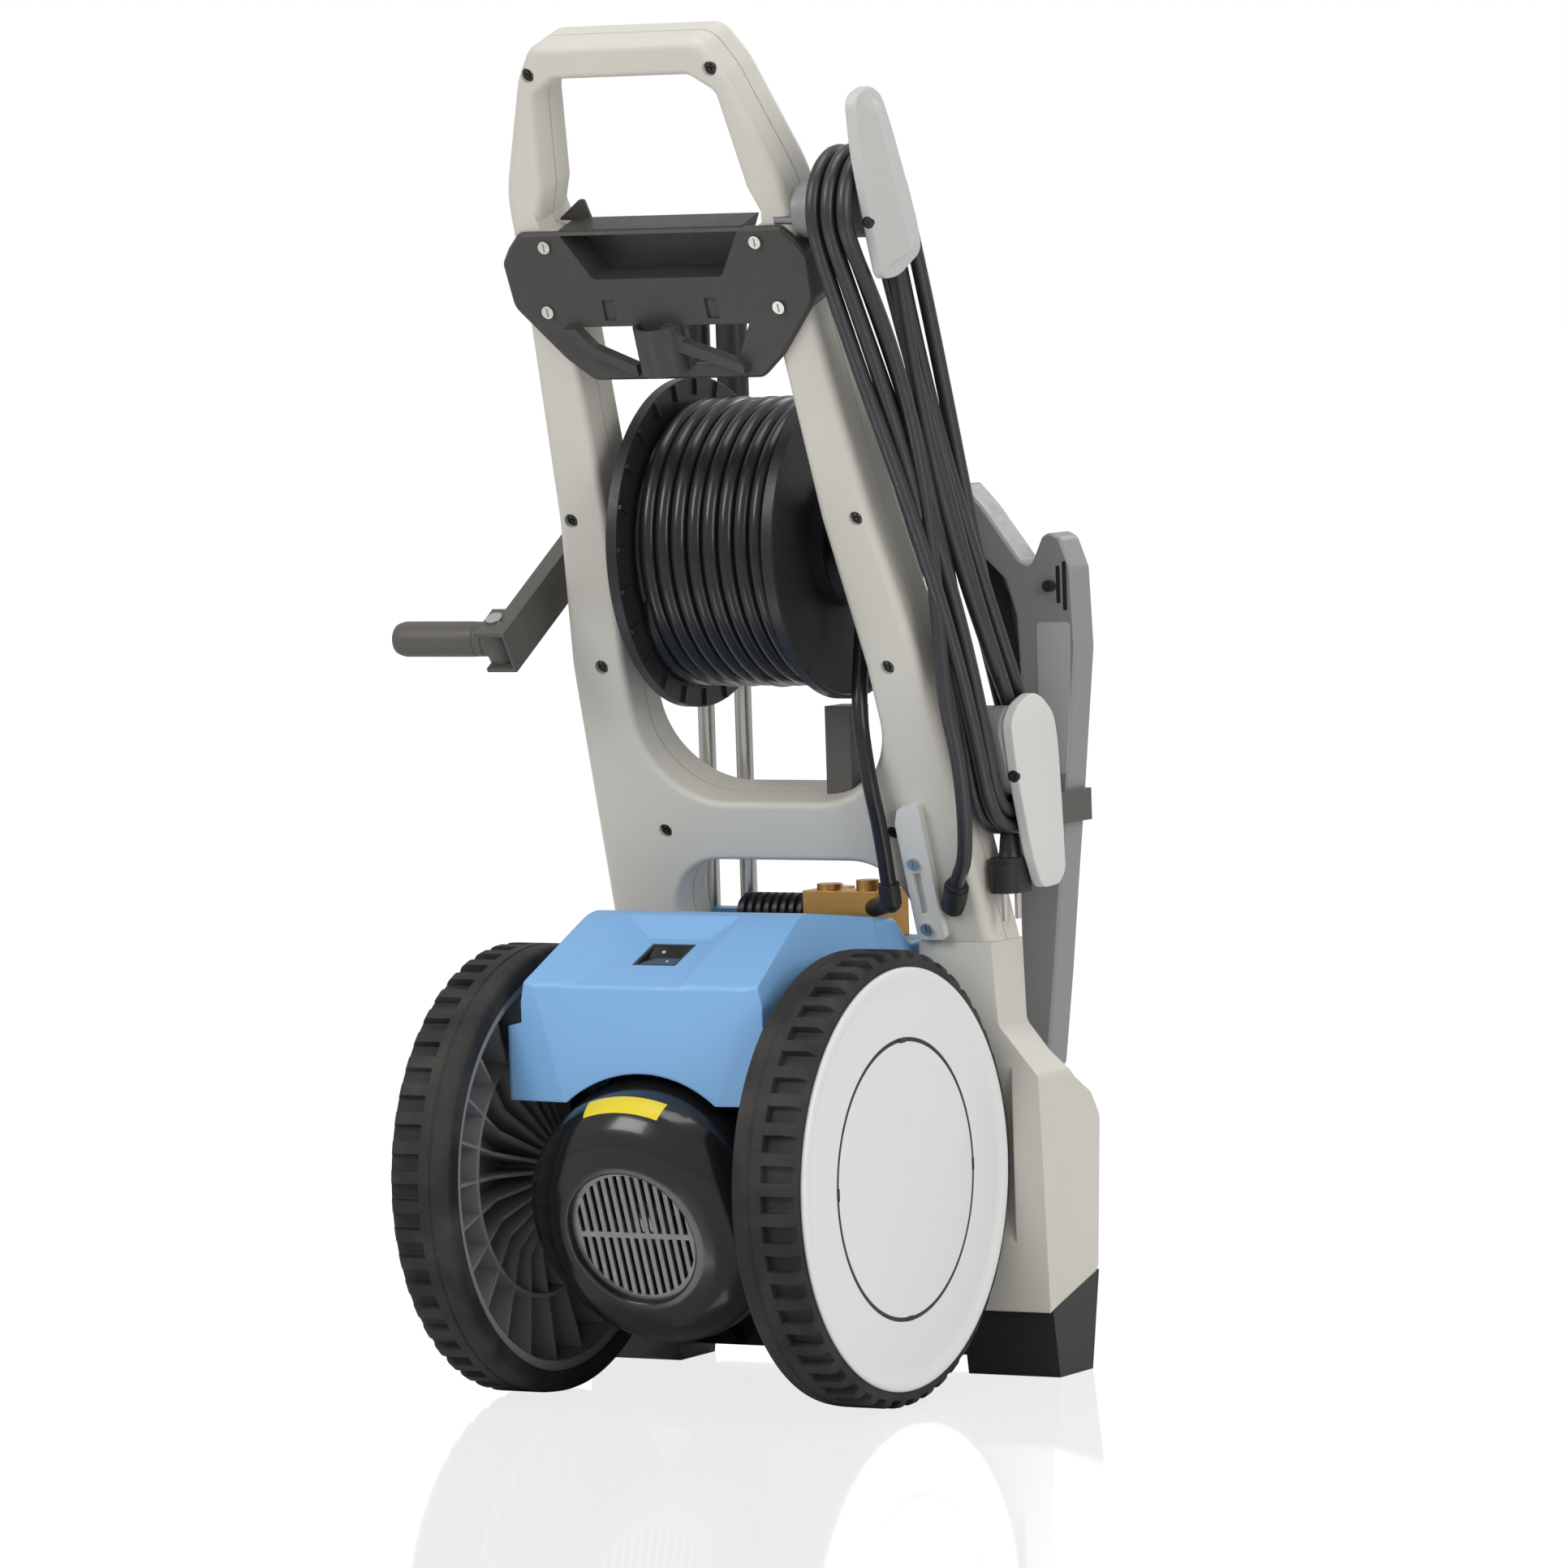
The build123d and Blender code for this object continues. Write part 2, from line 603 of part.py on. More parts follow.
def trough(grow):
    """Outline of the accessory trough, grown on every side."""
    points = leaning([
        (TROUGH_HALF + grow, PLATE_TOP_Z - 2 + grow), (TROUGH_LOW_HALF + grow, TROUGH_LOW_Z - grow),
    ])
    return rounded(both_sides(points), [0, 5, 5, 0])


def holder_plate():
    """Dark plate with a trough, notches, a shelf and a half-round shield."""
    face = plate_outline()
    body = slab(face, -PLATE_THICK, 0)
    body = chamfer(body.faces().sort_by(Axis.Z)[0].edges(), 2.0)
    skirt = slab(face, 0, PLATE_WRAP) - slab(offset(frame_edge(), 0.4), -1, PLATE_WRAP + 1)
    skirt -= box((-100, 0, -1), (100, 1000, PLATE_WRAP + 1))
    tub = slab(trough(2.6), -1, TROUGH_DEPTH) - slab(trough(0), -2, TROUGH_DEPTH - 2.6)
    body = body - slab(trough(0), -PLATE_THICK - 1, 1) + tub + skirt
    lip = slab(rounded(leaning([(58, 794), (61, 808), (65, 808), (84, 795)]), [1, 2, 2, 1]),
               TROUGH_DEPTH - 2.6, TROUGH_DEPTH)
    body += lip
    for x in (42.5, -37.5):
        body -= box((x - 4.5, SHELF_Z / cos(TILT), -PLATE_THICK - 1),
                    (x + 4.5, 749 / cos(TILT), -3))
    window = leaning([(70, 731), (26, 731), (26, 704), (50, 704)])
    body -= slab(outline(window), -PLATE_THICK - 1, 1)
    window = leaning([(-13, 731), (-64, 731), (-48, 704), (-13, 704)])
    body -= slab(outline(window), -PLATE_THICK - 1, 1)
    shield = slab(Circle(SHIELD_RADIUS), 701 / cos(TILT), 733 / cos(TILT))
    shield -= slab(Circle(SHIELD_RADIUS - 2.5), 600, 900)
    shield &= box((-40, -40, 600), (40, 1.5, 900))
    body += Pos(SHIELD_X, 0, -5) * Rot(-90, 0, 0) * Rot(180, 0, 0) * mirror(shield, about=Plane.XY)
    for prong in (
        [(78, 732), (62, 714), (26, 699), (26, 706), (56, 719), (68, 732)],
        [(2, 732), (-6, 716), (-57, 699), (-57, 706), (-13, 722), (-9, 732)],
    ):
        body += slab(outline(leaning(prong)), -PLATE_THICK - 7, -PLATE_THICK + 1)
    for x, z in PLATE_SCREWS:
        body -= Pos(x, z / cos(TILT), 0) * disc(-PLATE_THICK - 1, 1, SCREW_SHANK)
    y, z = UPPER_NECK
    return on_frame(body) - rod((-90, y, z), (-140, y, z), UPPER_NECK_RADIUS)



def panel_screws():
    """Pan-head screws of the holder plate and of the raised column cover."""
    head = disc(-PANEL_SCREW_HEAD, 0, 4.5) - box((-0.6, -3, -3), (0.6, 3, -1.1))
    screw = head + disc(0, 11, SCREW_SHANK)
    places = [(x, z, -PLATE_THICK) for x, z in PLATE_SCREWS]
    places += [(BRACKET_SCREW_X, z, -BRACKET_THICK) for z in BRACKET_SCREWS_Z]
    return [on_frame(Pos(x, z / cos(TILT), depth) * screw) for x, z, depth in places]


# ------------------------------------------------------------------ drum, hose and crank
def flange(radius, ribbed):
    """Drum end: thin disc with a rolled rim, outer ribs and a dished middle."""
    low, high = FLANGE_X - FLANGE_THICK, FLANGE_X
    body = disc(low, high, radius) + (disc(low, high + 5, radius) - disc(0, 200, radius - 3))
    body += disc(high, high + 9, 46.0) - disc(0, 200, 43.0)
    if ribbed:
        rib = box((45, -1.2, high - 0.5), (radius - 2, 1.2, high + 4.5))
        body += around(FLANGE_RIBS, rib)
        tooth = box((HOSE_OUTER_RADIUS + 1.5, -1.5, low - 2), (radius - 1, 1.5, low + 0.5))
        body += around(FLANGE_RIBS, tooth)
        body += disc(-low, low + 1, BARREL_RADIUS) - disc(-low - 1, low, BARREL_RADIUS - BARREL_WALL)
    return body - disc(0, 200, DRUM_SHAFT_RADIUS)



def drum_shaft():
    """Shaft through the drum, the swivel and both bearings, out to the crank arm."""
    body = disc(-BEARING_X - BEARING_WIDTH + 2, ARM_X + 9, DRUM_SHAFT_RADIUS)
    return on_drum(body - disc(-200, -30, 4.0))


def hose_coil():
    """Outer shape of the wound hose."""
    reach = HOSE_TURNS * HOSE_PITCH / 2
    radius = HOSE_DIAMETER / 2
    core = disc(-reach, reach, HOSE_OUTER_RADIUS - radius)
    for index in range(HOSE_TURNS):
        middle = -reach + HOSE_PITCH * (index + 0.5)
        core += Pos(0, 0, middle) * Torus(HOSE_OUTER_RADIUS - radius, radius)
    return on_drum(core - disc(-200, 200, BARREL_RADIUS) & disc(-reach, reach, 200))



def drum_bearing(side):
    """Fixed bearing block on the front of a column; the right one holds the hose swivel."""
    front = FRAME_FOOT_Y - FRAME_DEPTH / cos(TILT)
    low, high = DRUM_Z - 40, DRUM_Z + 40
    block = prism_x(outline([
        (front + low * tan(TILT), low), (front + high * tan(TILT), high),
        (DRUM_Y, DRUM_Z + BEARING_RADIUS), (DRUM_Y, DRUM_Z - BEARING_RADIUS),
    ]), BEARING_X, BEARING_X + BEARING_WIDTH)
    block += on_drum(disc(BEARING_X, BEARING_X + BEARING_WIDTH, BEARING_RADIUS))
    if side < 0:
        block = mirrored(block) + on_drum(disc(-BEARING_X - 1, -BEARING_X + 17, SWIVEL_RADIUS))
        block += rod((-75.5, DRUM_Y + 1, DRUM_Z - 14), (-75.5, DRUM_Y + 2, DRUM_Z - 30), 6.0)
    block -= frame_solid()
    return block - on_drum(disc(-200, 200, DRUM_SHAFT_RADIUS + RUNNING))



def crank_arm():
    """Channel arm on the shaft with two ears for the folding knuckle."""
    top = ARM_X + ARM_DEPTH
    body = slab(Pos(CRANK_RADIUS / 2, 0) * SlotCenterToCenter(CRANK_RADIUS + 2, 2 * ARM_HALF), ARM_X, top)
    body += box((104, -ARM_HALF, ARM_X), (134, ARM_HALF, KNUCKLE_X + 8))
    body -= box((24, -ARM_HALF + ARM_WALL, ARM_X + ARM_FLOOR), (160, ARM_HALF - ARM_WALL, 200))
    body -= disc(ARM_X - 1, ARM_X + 9, DRUM_SHAFT_RADIUS)
    for x in (44, 64, 84):
        body += box((x - 1, -ARM_HALF + 1, ARM_X + 1), (x + 1, ARM_HALF - 1, ARM_X + ARM_FLOOR + 0.5))
    body -= Pos(CRANK_RADIUS, 0, KNUCKLE_X) * Rot(90, 0, 0) * Cylinder(FOLD_PIN_RADIUS, 60)
    return ARM_PLANE.location * body


def fold_pin():
    """Bright pin through the arm's ears."""
    body = Cylinder(FOLD_PIN_RADIUS, 2 * ARM_HALF + 2) + Pos(0, 0, -ARM_HALF - 1) * Cylinder(6, 2)
    body += Pos(0, 0, ARM_HALF + 1) * Cylinder(6, 2)
    return ARM_PLANE.location * Pos(CRANK_RADIUS, 0, KNUCKLE_X) * Rot(90, 0, 0) * body


def crank_knuckle():
    """Folding knuckle with the collar and spindle of the grip."""
    half = ARM_HALF - ARM_WALL - GAP
    body = Rot(90, 0, 0) * Cylinder(KNUCKLE_RADIUS, 2 * half)
    body += Pos(0, 0, 0) * disc(0, GRIP_X - KNUCKLE_X, KNUCKLE_RADIUS)
    body -= disc(GRIP_X - KNUCKLE_X, 40, 40)
    body += disc(GRIP_X - KNUCKLE_X - 1, GRIP_END_X - KNUCKLE_X - 6, SPINDLE_RADIUS)
    body -= Rot(90, 0, 0) * Cylinder(FOLD_PIN_RADIUS + RUNNING, 60)
    return ARM_PLANE.location * Pos(CRANK_RADIUS, 0, KNUCKLE_X) * body


def crank_grip():
    """Grip that spins on the spindle."""
    length = GRIP_END_X - GRIP_X - GAP
    body = Pos(0, 0, GRIP_X + GAP) * turned([
        (0, 0), (GRIP_RADIUS - 1, 0), (GRIP_RADIUS, 1), (GRIP_RADIUS, length - 5),
        (GRIP_RADIUS - 1.5, length - 1.5), (GRIP_RADIUS - 4, length), (0, length),
    ])
    body -= disc(GRIP_X, GRIP_END_X - 5, SPINDLE_RADIUS + RUNNING)
    return ARM_PLANE.location * Pos(CRANK_RADIUS, 0, 0) * body


def hose_route():
    """Route of the short hose from the pump to the drum's swivel."""
    return [(-75.5, DRUM_Y + 2, DRUM_Z - 30), (-77, -105, 505), (-84, -86, 462), (-87, -92, 415),
            (-87, -108, 375), (-86, -117, 342)]


def link_hose():
    """Short high-pressure hose behind the right column."""
    return swept(hose_route(), 5.5, "link hose")


def hose_sleeve():
    """Crimped sleeve and elbow at the pump end of the short hose."""
    end = hose_route()[-1]
    low = (-85.6, -120.5, 329)
    body = rod(low, end, 7.5)
    body += Pos(*low) * Sphere(7.5)
    body += rod(low, (-52, -152, 321), 6.5)
    return body - box(TOWER_LOW, TOWER_HIGH)


def drum_block():
    """Bumper block on the cross bar under the drum."""
    return box((-55, -152, 392), (-35, -126, 463)) - frame_solid()


def frame_solid():
    """Frame without its cavities, to seat neighbours on it."""
    return on_frame(slab(frame_face(), 0, FRAME_DEPTH)) - below_frame()


# ------------------------------------------------------------------ cable hooks and cable
def cord_radii(route, label):
    """Largest tangent arc that each corner of a route allows, printed for the report."""
    radii = []
    for before, corner, after in zip(route, route[1:], route[2:]):
        first = Vector(*corner) - Vector(*before)
        second = Vector(*after) - Vector(*corner)
        turn = radians(first.get_angle(second))
        radii.append(0.45 * min(first.length, second.length) / tan(turn / 2))
    print(label, "radii mm:", [round(radius) for radius in radii])
    return radii


def swept(route, radius, label):
    """Tube of straight runs joined by tangent arcs."""
    path = FilletPolyline(*route, radius=cord_radii(route, label))
    start = Vector(*route[1]) - Vector(*route[0])
    body = sweep(Plane(origin=route[0], z_dir=start) * Circle(radius), path=path)
    share = body.volume / (pi * radius ** 2 * path.length)
    print(label, "length mm:", round(path.length), "volume share:", round(share, 4))
    return body


def gland_axis():
    """Direction in which the cable leaves the gland."""
    return Vector(-0.45, 0.62, 0.64).normalized()


def gland_foot():
    """Middle of the gland on the frame's rear face."""
    x, z = GLAND
    return Vector(x, FRAME_FOOT_Y + z * tan(TILT), z)


def cable_gland():
    """Angled strain relief on the column's rear face."""
    foot, axis = gland_foot(), gland_axis()
    body = rod(foot - axis * 8, foot + axis * 15, 8.5)
    body += rod(foot + axis * 15, foot + axis * 19, 7.0)
    return body - frame_solid()


def cable_route():
    """Route of the cable from the gland to the wound part."""
    start = gland_foot() + gland_axis() * 19
    return [tuple(start)] + list(CABLE_ROUTE)


def cable_coil():
    """Outer shape of the wound cable, a leaning band round both necks."""
    def band(draw_in):
        top = Pos(*COIL_TOP) * Circle(COIL_TOP_RADIUS - draw_in)
        low = Pos(*COIL_LOW) * Circle(COIL_LOW_RADIUS - draw_in)
        return make_hull((top + low).edges())
    body = prism_x(band(0), -COIL_X - 2 * CABLE_DIAMETER, -COIL_X)
    return body - prism_x(band(COIL_BAND), -COIL_X - 2 * CABLE_DIAMETER - 1, -COIL_X + 1)


def upper_neck():
    """Fixed arm of the upper cable hook."""
    y, z = UPPER_NECK
    body = rod((-96, y, z), (-HOOK_PLATE_X + GAP, y, z), UPPER_NECK_RADIUS)
    body -= frame_solid()
    return body + rod((-150, y, z), (-HOOK_PLATE_X - HOOK_PLATE_THICK + 4, y, z), HOOK_PIVOT_RADIUS)



def hook_upper():
    """Swivelling plate of the upper cable hook."""
    y, z = UPPER_NECK
    points = [(45, 886), (67, 878), (62, 842), (47, 795), (33, 757), (12, 759), (-20, 775),
              (-14, 797), (16, 857), (30, 880)]
    body = prism_x(rounded(points, [10, 12, 40, 60, 8, 14, 10, 40, 60, 14]),
                   -HOOK_PLATE_X - HOOK_PLATE_THICK, -HOOK_PLATE_X)
    body = chamfer(body.faces().sort_by(Axis.X)[0].edges(), 3.5)
    body -= rod((-178, 60, 795), (-178, 40, 795), HOOK_SCREW_RECESS)
    return body - rod((-160, y, z), (-HOOK_PLATE_X - HOOK_PLATE_THICK + 4 - GAP, y, z),
                      HOOK_PIVOT_RADIUS + RUNNING)


def lower_neck():
    """Fixed arm of the lower cable hook."""
    y, z = LOWER_NECK
    lean = (y + LOWER_NECK_RISE * 0.42, z + LOWER_NECK_RISE)
    profile = make_hull((Pos(y, z) * Circle(LOWER_NECK_RADIUS)
                         + Pos(*lean) * Circle(LOWER_NECK_RADIUS)).edges())
    return prism_x(profile, -HOOK_PLATE_X, -120) - frame_solid()


def hook_lower():
    """Fixed faceted plate of the lower cable hook."""
    points = [(-158, 471), (-137, 464), (-126, 452), (-134, 414), (-152, 360), (-165, 336),
              (-190, 337), (-199, 346), (-197, 387), (-193, 436), (-188, 455), (-172, 467)]
    body = prism_x(rounded(points, [10, 8, 12, 40, 30, 10, 8, 8, 60, 30, 12, 10]),
                   -HOOK_PLATE_X - HOOK_PLATE_THICK, -HOOK_PLATE_X)
    body = chamfer(body.faces().sort_by(Axis.X)[0].edges(), 3.5)
    return body - rod((-178, -120, 415), (-178, -140, 415), HOOK_SCREW_RECESS)



def plug():
    """Moulded mains plug that hangs below the wound cable."""
    x, y, z = PLUG
    body = Pos(x, y, z) * turned([(0, 6), (6.5, 6), (7.5, -6), (9.5, -14), (0, -14)])
    thick = 2 * PLUG_HALF_THICK
    body += Pos(x, y, 0) * slab(RectangleRounded(thick, 2 * PLUG_HALF - 4, 8), z - 14, z - 10)
    body += Pos(x, y, 0) * slab(RectangleRounded(thick, 2 * PLUG_HALF, 9), z - 34, z - 14)
    for side in (-1, 1):
        body -= rod((x, y + side * PIN_SPACING / 2, z - 50), (x, y + side * PIN_SPACING / 2, z - 22),
                    PIN_RADIUS)
    return body


def plug_pins():
    """Two round contact pins."""
    x, y, z = PLUG
    return [rod((x, y + side * PIN_SPACING / 2, z - 22),
                (x, y + side * PIN_SPACING / 2, z - 34 - PIN_LENGTH), PIN_RADIUS) for side in (-1, 1)]


# ------------------------------------------------------------------ base and covers
def wheel_space(grow=0.0):
    """Room that a wheel needs, on the +X side."""
    return on_axle(disc(TYRE_INNER_X - WHEEL_CLEAR - grow, WHEEL_OUTER_X + HUBCAP_FACE + 1.5 + grow,
                        WHEEL_RADIUS + WHEEL_CLEAR + grow))


def base_tray():
    """Black base: two feet, a cross piece, two rails with saddles, and posts for the columns."""
    foot = outline(FOOT_SIDE)
    body = prism_x(foot, FOOT_INNER, FOOT_HALF) + prism_x(foot, -FOOT_HALF, -FOOT_INNER)
    cross = box((-FOOT_INNER, -216, 8), (FOOT_INNER, -190, 52))
    body += cross - rod((62, -185, 18), (62, -200, 18), 5)
    rail = outline([(-214, 50), (-190, 8), (-60, 96), (14, 122), (25, 140), (25, 172), (12, 192),
                    (-60, 204), (-150, 204), (-214, 190)])
    for side in (1, -1):
        low, high = sorted((side * RAIL_X, side * (RAIL_X + RAIL_WIDTH)))
        body += prism_x(rail, low, high)
        (x_low, y_low), (x_high, y_high) = POST
        near, far = sorted((side * (RAIL_X + RAIL_WIDTH - 1), side * x_high))
        body += box((near, y_low - 8, 40), (far, y_high, 60))
        body += post_box(side)
        lug_low, lug_high = sorted((side * (RAIL_X + RAIL_WIDTH - 1), side * (BONNET_HALF - WALL)))
        body += box((lug_low, -80, 190), (lug_high, -64, 222))
    saddle = outline([(-84, 90), (-50, 102), (-50, 176), (-84, 182)])
    body += prism_x(saddle, -RAIL_X, RAIL_X)
    body += box((-RAIL_X, -190, 150), (RAIL_X, -176, 200))
    body -= on_motor(disc(-400, 0, MOTOR_RADIUS))
    body -= box((-60, -300, 160), (60, -170, 260))
    body += column_plug()
    collar = on_axle(disc(RAIL_X + RAIL_WIDTH - 1, HUB_INNER_X - GAP, AXLE_COLLAR))
    body += collar + mirrored(collar)
    body -= on_axle(disc(-200, 200, AXLE_RADIUS))
    return body


def cover_blank(inset=0.0):
    """Solid outer shape of the left side cover, or its cavity when drawn in."""
    rear = COVER_REAR_Y
    side = [
        (-144.5, FRAME_END_Z), (-191.2, FRAME_END_Z), (-188, 250), (-187, 222), (-196, 205),
        (-222, 190), (COVER_FRONT_Y, 173), (-219, 67.5), (-160, 50.5), (rear, 46), (rear, 240),
    ]
    front = [
        (COVER_INNER, FRAME_END_Z), (COVER_NECK_HALF, FRAME_END_Z), COVER_NECK, COVER_SHOULDER,
        (FOOT_HALF, 46), (COVER_INNER, 46),
    ]
    side_face = rounded(side, [0, 0, 0, 14, 16, 10, 10, 8, 0, 0, 0])
    front_face = rounded(front, [0, 0, 10, 8, 0, 0])
    if inset:
        side_face = offset(side_face, -inset, kind=Kind.INTERSECTION)
        front_face = offset(front_face, -inset, kind=Kind.INTERSECTION)
    return prism_x(side_face, COVER_INNER - 1, FOOT_HALF + 1) & prism_y(front_face, -300, -100)


def side_cover():
    """Light shell over the column's foot and the base, on the +X side."""
    body = cover_blank() - wheel_space()
    body -= cover_blank(WALL) - wheel_space(WALL)
    body -= box((0, -214, 60), (COVER_INNER + WALL + 1, -150, 190))
    tray = base_tray()
    foot = prism_x(outline(FOOT_SIDE), FOOT_INNER, FOOT_HALF)
    return body - tray - foot


def front_cover():
    """Light cover between the side covers, with a flat top under the pump's hood."""
    points = [(-150, FRONT_TOP_Z), (-222, FRONT_TOP_Z), (-235, 192), (COVER_FRONT_Y, 173),
              (-219, 56), (-150, 56)]
    inner = [(-149, FRONT_TOP_Z - WALL), (-221, FRONT_TOP_Z - WALL), (-232, 190),
             (COVER_FRONT_Y + WALL, 173), (-217, 59), (-216.1, 50), (-149, 50)]
    body = prism_x(rounded(points, [0, 8, 4, 6, 0, 0]), -COVER_INNER, COVER_INNER)
    body -= prism_x(outline(inner), -COVER_INNER - 1, COVER_INNER + 1)
    body -= box((-62, -213, 190), (62, -140, 220))
    for index in range(5):
        low = 84 + index * 9
        body -= box((-50, -240, low), (50, -210, low + 4))
    body -= rod((-30, -250, 148), (-30, -200, 148), 11)
    return body - base_tray()


def bonnet_blank(inset=0.0):
    """Solid outer shape of the motor bonnet, or its cavity when drawn in."""
    side = [(BONNET_FRONT_Y, BONNET_LOW_Z), (BONNET_FRONT_Y, 321), (BONNET_RIDGE_Y, BONNET_TOP_Z),
            (BONNET_REAR_Y - 3, BONNET_EDGE_Z), (BONNET_REAR_Y, BONNET_LOW_Z)]
    end = both_sides([(BONNET_TOP_HALF, BONNET_TOP_Z + 1), (BONNET_UPPER_HALF, 276),
                      (BONNET_UPPER_HALF, BONNET_LEDGE_Z), (BONNET_HALF, BONNET_LEDGE_Z - 3),
                      (BONNET_HALF, BONNET_LOW_Z)])
    plan = [(BONNET_HALF, BONNET_FRONT_Y), (BONNET_HALF, BONNET_CORNER_Y), (BONNET_FACE_HALF, BONNET_REAR_Y),
            (-BONNET_FACE_HALF, BONNET_REAR_Y), (-BONNET_HALF, BONNET_CORNER_Y),
            (-BONNET_HALF, BONNET_FRONT_Y)]
    side_face = rounded(side, [0, 0, 40, 6, 0])
    end_face = outline(end)
    plan_face = rounded(plan, [0, 5, 14, 14, 5, 0])
    low, front = BONNET_LOW_Z, BONNET_FRONT_Y
    if inset:
        side_face = offset(side_face, -inset, kind=Kind.INTERSECTION)
        side_face += outline([(front - 9, low - 9), (front - 9, 314), (front + 9, 314),
                              (front + 9, 235), (BONNET_REAR_Y - 9, 235), (BONNET_REAR_Y - 9, low - 9)])
        end_face = offset(end_face, -inset, kind=Kind.INTERSECTION)
        end_face += outline([(BONNET_HALF - inset, low - 9), (BONNET_HALF - inset, 230),
                             (inset - BONNET_HALF, 230), (inset - BONNET_HALF, low - 9)])
        plan_face = offset(plan_face, -inset, kind=Kind.INTERSECTION)
        plan_face += outline([(BONNET_HALF - inset, front - 9), (BONNET_HALF - inset, 0),
                              (inset - BONNET_HALF, 0), (inset - BONNET_HALF, front - 9)])
    body = prism_x(side_face, -BONNET_HALF - 1, BONNET_HALF + 1) & prism_y(end_face, -140, 100)
    return body & extrude(Pos(0, 0, 150) * plan_face, 250, dir=(0, 0, 1))


def scoop_floor(y):
    """Height of the recess's floor."""
    rise = (SCOOP_FRONT[1] - SCOOP_REAR[1]) / (SCOOP_REAR[0] - SCOOP_FRONT[0])
    return SCOOP_REAR[1] + (SCOOP_REAR[0] - y) * rise


def switch_plane():
    """Plane of the recess's floor at the switch, with local Z outwards."""
    x, y = SWITCH_PLACE
    normal = (0, SCOOP_FRONT[1] - SCOOP_REAR[1], SCOOP_REAR[0] - SCOOP_FRONT[0])
    return Plane(origin=(x, y, scoop_floor(y)), x_dir=(1, 0, 0), z_dir=normal)


def switch_scoop(grow):
    """Recess round the switch, open to the rear, with flaring sides."""
    rear, front = SCOOP_REAR[0] + 5, SCOOP_FRONT[0] - grow
    low = [(56 + grow * 0.8, rear, scoop_floor(rear) - grow), (-33 - grow * 0.8, rear, scoop_floor(rear) - grow),
           (-18.5 - grow * 0.8, front, scoop_floor(front) - grow),
           (28 + grow * 0.8, front, scoop_floor(front) - grow)]
    high = [(218 + grow * 3, rear, 345), (-150 - grow * 3, rear, 345),
            (-55.5 - grow * 3, front - 24, 345), (77 + grow * 3, front - 24, 345)]
    faces = [make_face(Polyline(*points, close=True)) for points in (low, high)]
    return loft(faces, ruled=True)


def motor_bonnet():
    """Blue cover over the motor with an arch round it and a recess for the switch."""
    body = bonnet_blank() - bonnet_blank(WALL)
    body -= on_motor(disc(-130, 60, ARCH_RADIUS))
    body += switch_scoop(WALL) & bonnet_blank()
    body -= switch_scoop(0)
    body -= switch_plane().location * slab(Rectangle(SWITCH_LENGTH, SWITCH_WIDTH), -12, 2)
    body -= box((60, -97, 200), (86, -70, 240))
    return body


def switch_housing():
    """Frame of the rocker switch, set in the recess."""
    body = slab(Rectangle(SWITCH_LENGTH, SWITCH_WIDTH), -SWITCH_DEPTH - 16, -SWITCH_DEPTH + 2.5)
    body -= slab(Rectangle(SWITCH_LENGTH - 5, SWITCH_WIDTH - 5), -SWITCH_DEPTH - 13, 5)
    bore = Pos(0, 0, -SWITCH_DEPTH - 2) * Rot(0, 90, 0) * Cylinder(1.5, SWITCH_LENGTH - 1)
    return switch_plane().location * (body - bore)


def switch_rocker():
    """Rocker that tilts about its short pin."""
    half = SWITCH_WIDTH / 2 - 2.5 - 2 * GAP
    long = SWITCH_LENGTH / 2 - 2.5 - GAP
    face = [(-half, 4.2), (0, 2.2), (half, 4.2), (half, 0), (half - 4, -6), (-half + 4, -6), (-half, 0)]
    side = Plane(origin=(-long, 0, -SWITCH_DEPTH - 2), x_dir=(0, 1, 0), z_dir=(1, 0, 0))
    body = extrude(side * outline(face), 2 * long, dir=(1, 0, 0))
    body += Pos(0, 0, -SWITCH_DEPTH - 2) * Rot(0, 90, 0) * Cylinder(1.45, SWITCH_LENGTH - 1.6)
    return switch_plane().location * body


def pump_hood():
    """Second blue cover, over the pump, with cups for the lances' feet."""
    front, rear, high = HOOD_FRONT_Y, BONNET_FRONT_Y - 0.5, HOOD_REAR_Z
    side = [(rear, FRONT_TOP_Z), (rear, high), (-130, high), (-150, HOOD_TOP_Z),
            (-196, HOOD_TOP_Z), (front, 282), (front, FRONT_TOP_Z)]
    inner = [(rear + 5.5, FRONT_TOP_Z - 5), (rear + 5.5, high - WALL), (-128.7, high - WALL),
             (-148.7, HOOD_TOP_Z - WALL), (-195, HOOD_TOP_Z - WALL), (front + WALL, 281),
             (front + WALL, FRONT_TOP_Z - 5)]
    body = prism_x(rounded(side, [0, 0, 12, 12, 8, 8, 0]), -HOOD_HALF, HOOD_HALF)
    body = fillet(body.edges().filter_by(lambda e: abs(abs(e.center().X) - HOOD_HALF) < 0.01
                                         and e.center().Z > HOOD_TOP_Z - 0.01), 5)
    body -= prism_x(outline(inner), -HOOD_HALF + WALL, HOOD_HALF - WALL)
    low, high = TOWER_LOW, TOWER_HIGH
    body -= box((low[0] - 1, low[1] - 1, 270), (high[0] + 1, high[1] + 1, 320))
    body -= prism_y(Pos(KNOB_X, KNOB_Z) * Circle(12), -230, -200)
    body -= base_tray()
    body += box((60, -212, HOOD_TOP_Z - 2), (113, -191.6, 316))
    for x in LANCE_X:
        body -= rod((x, LANCE_Y, LANCE_FOOT_Z - GAP), (x, LANCE_Y, 320), LANCE_RADIUS + GAP)
    return body


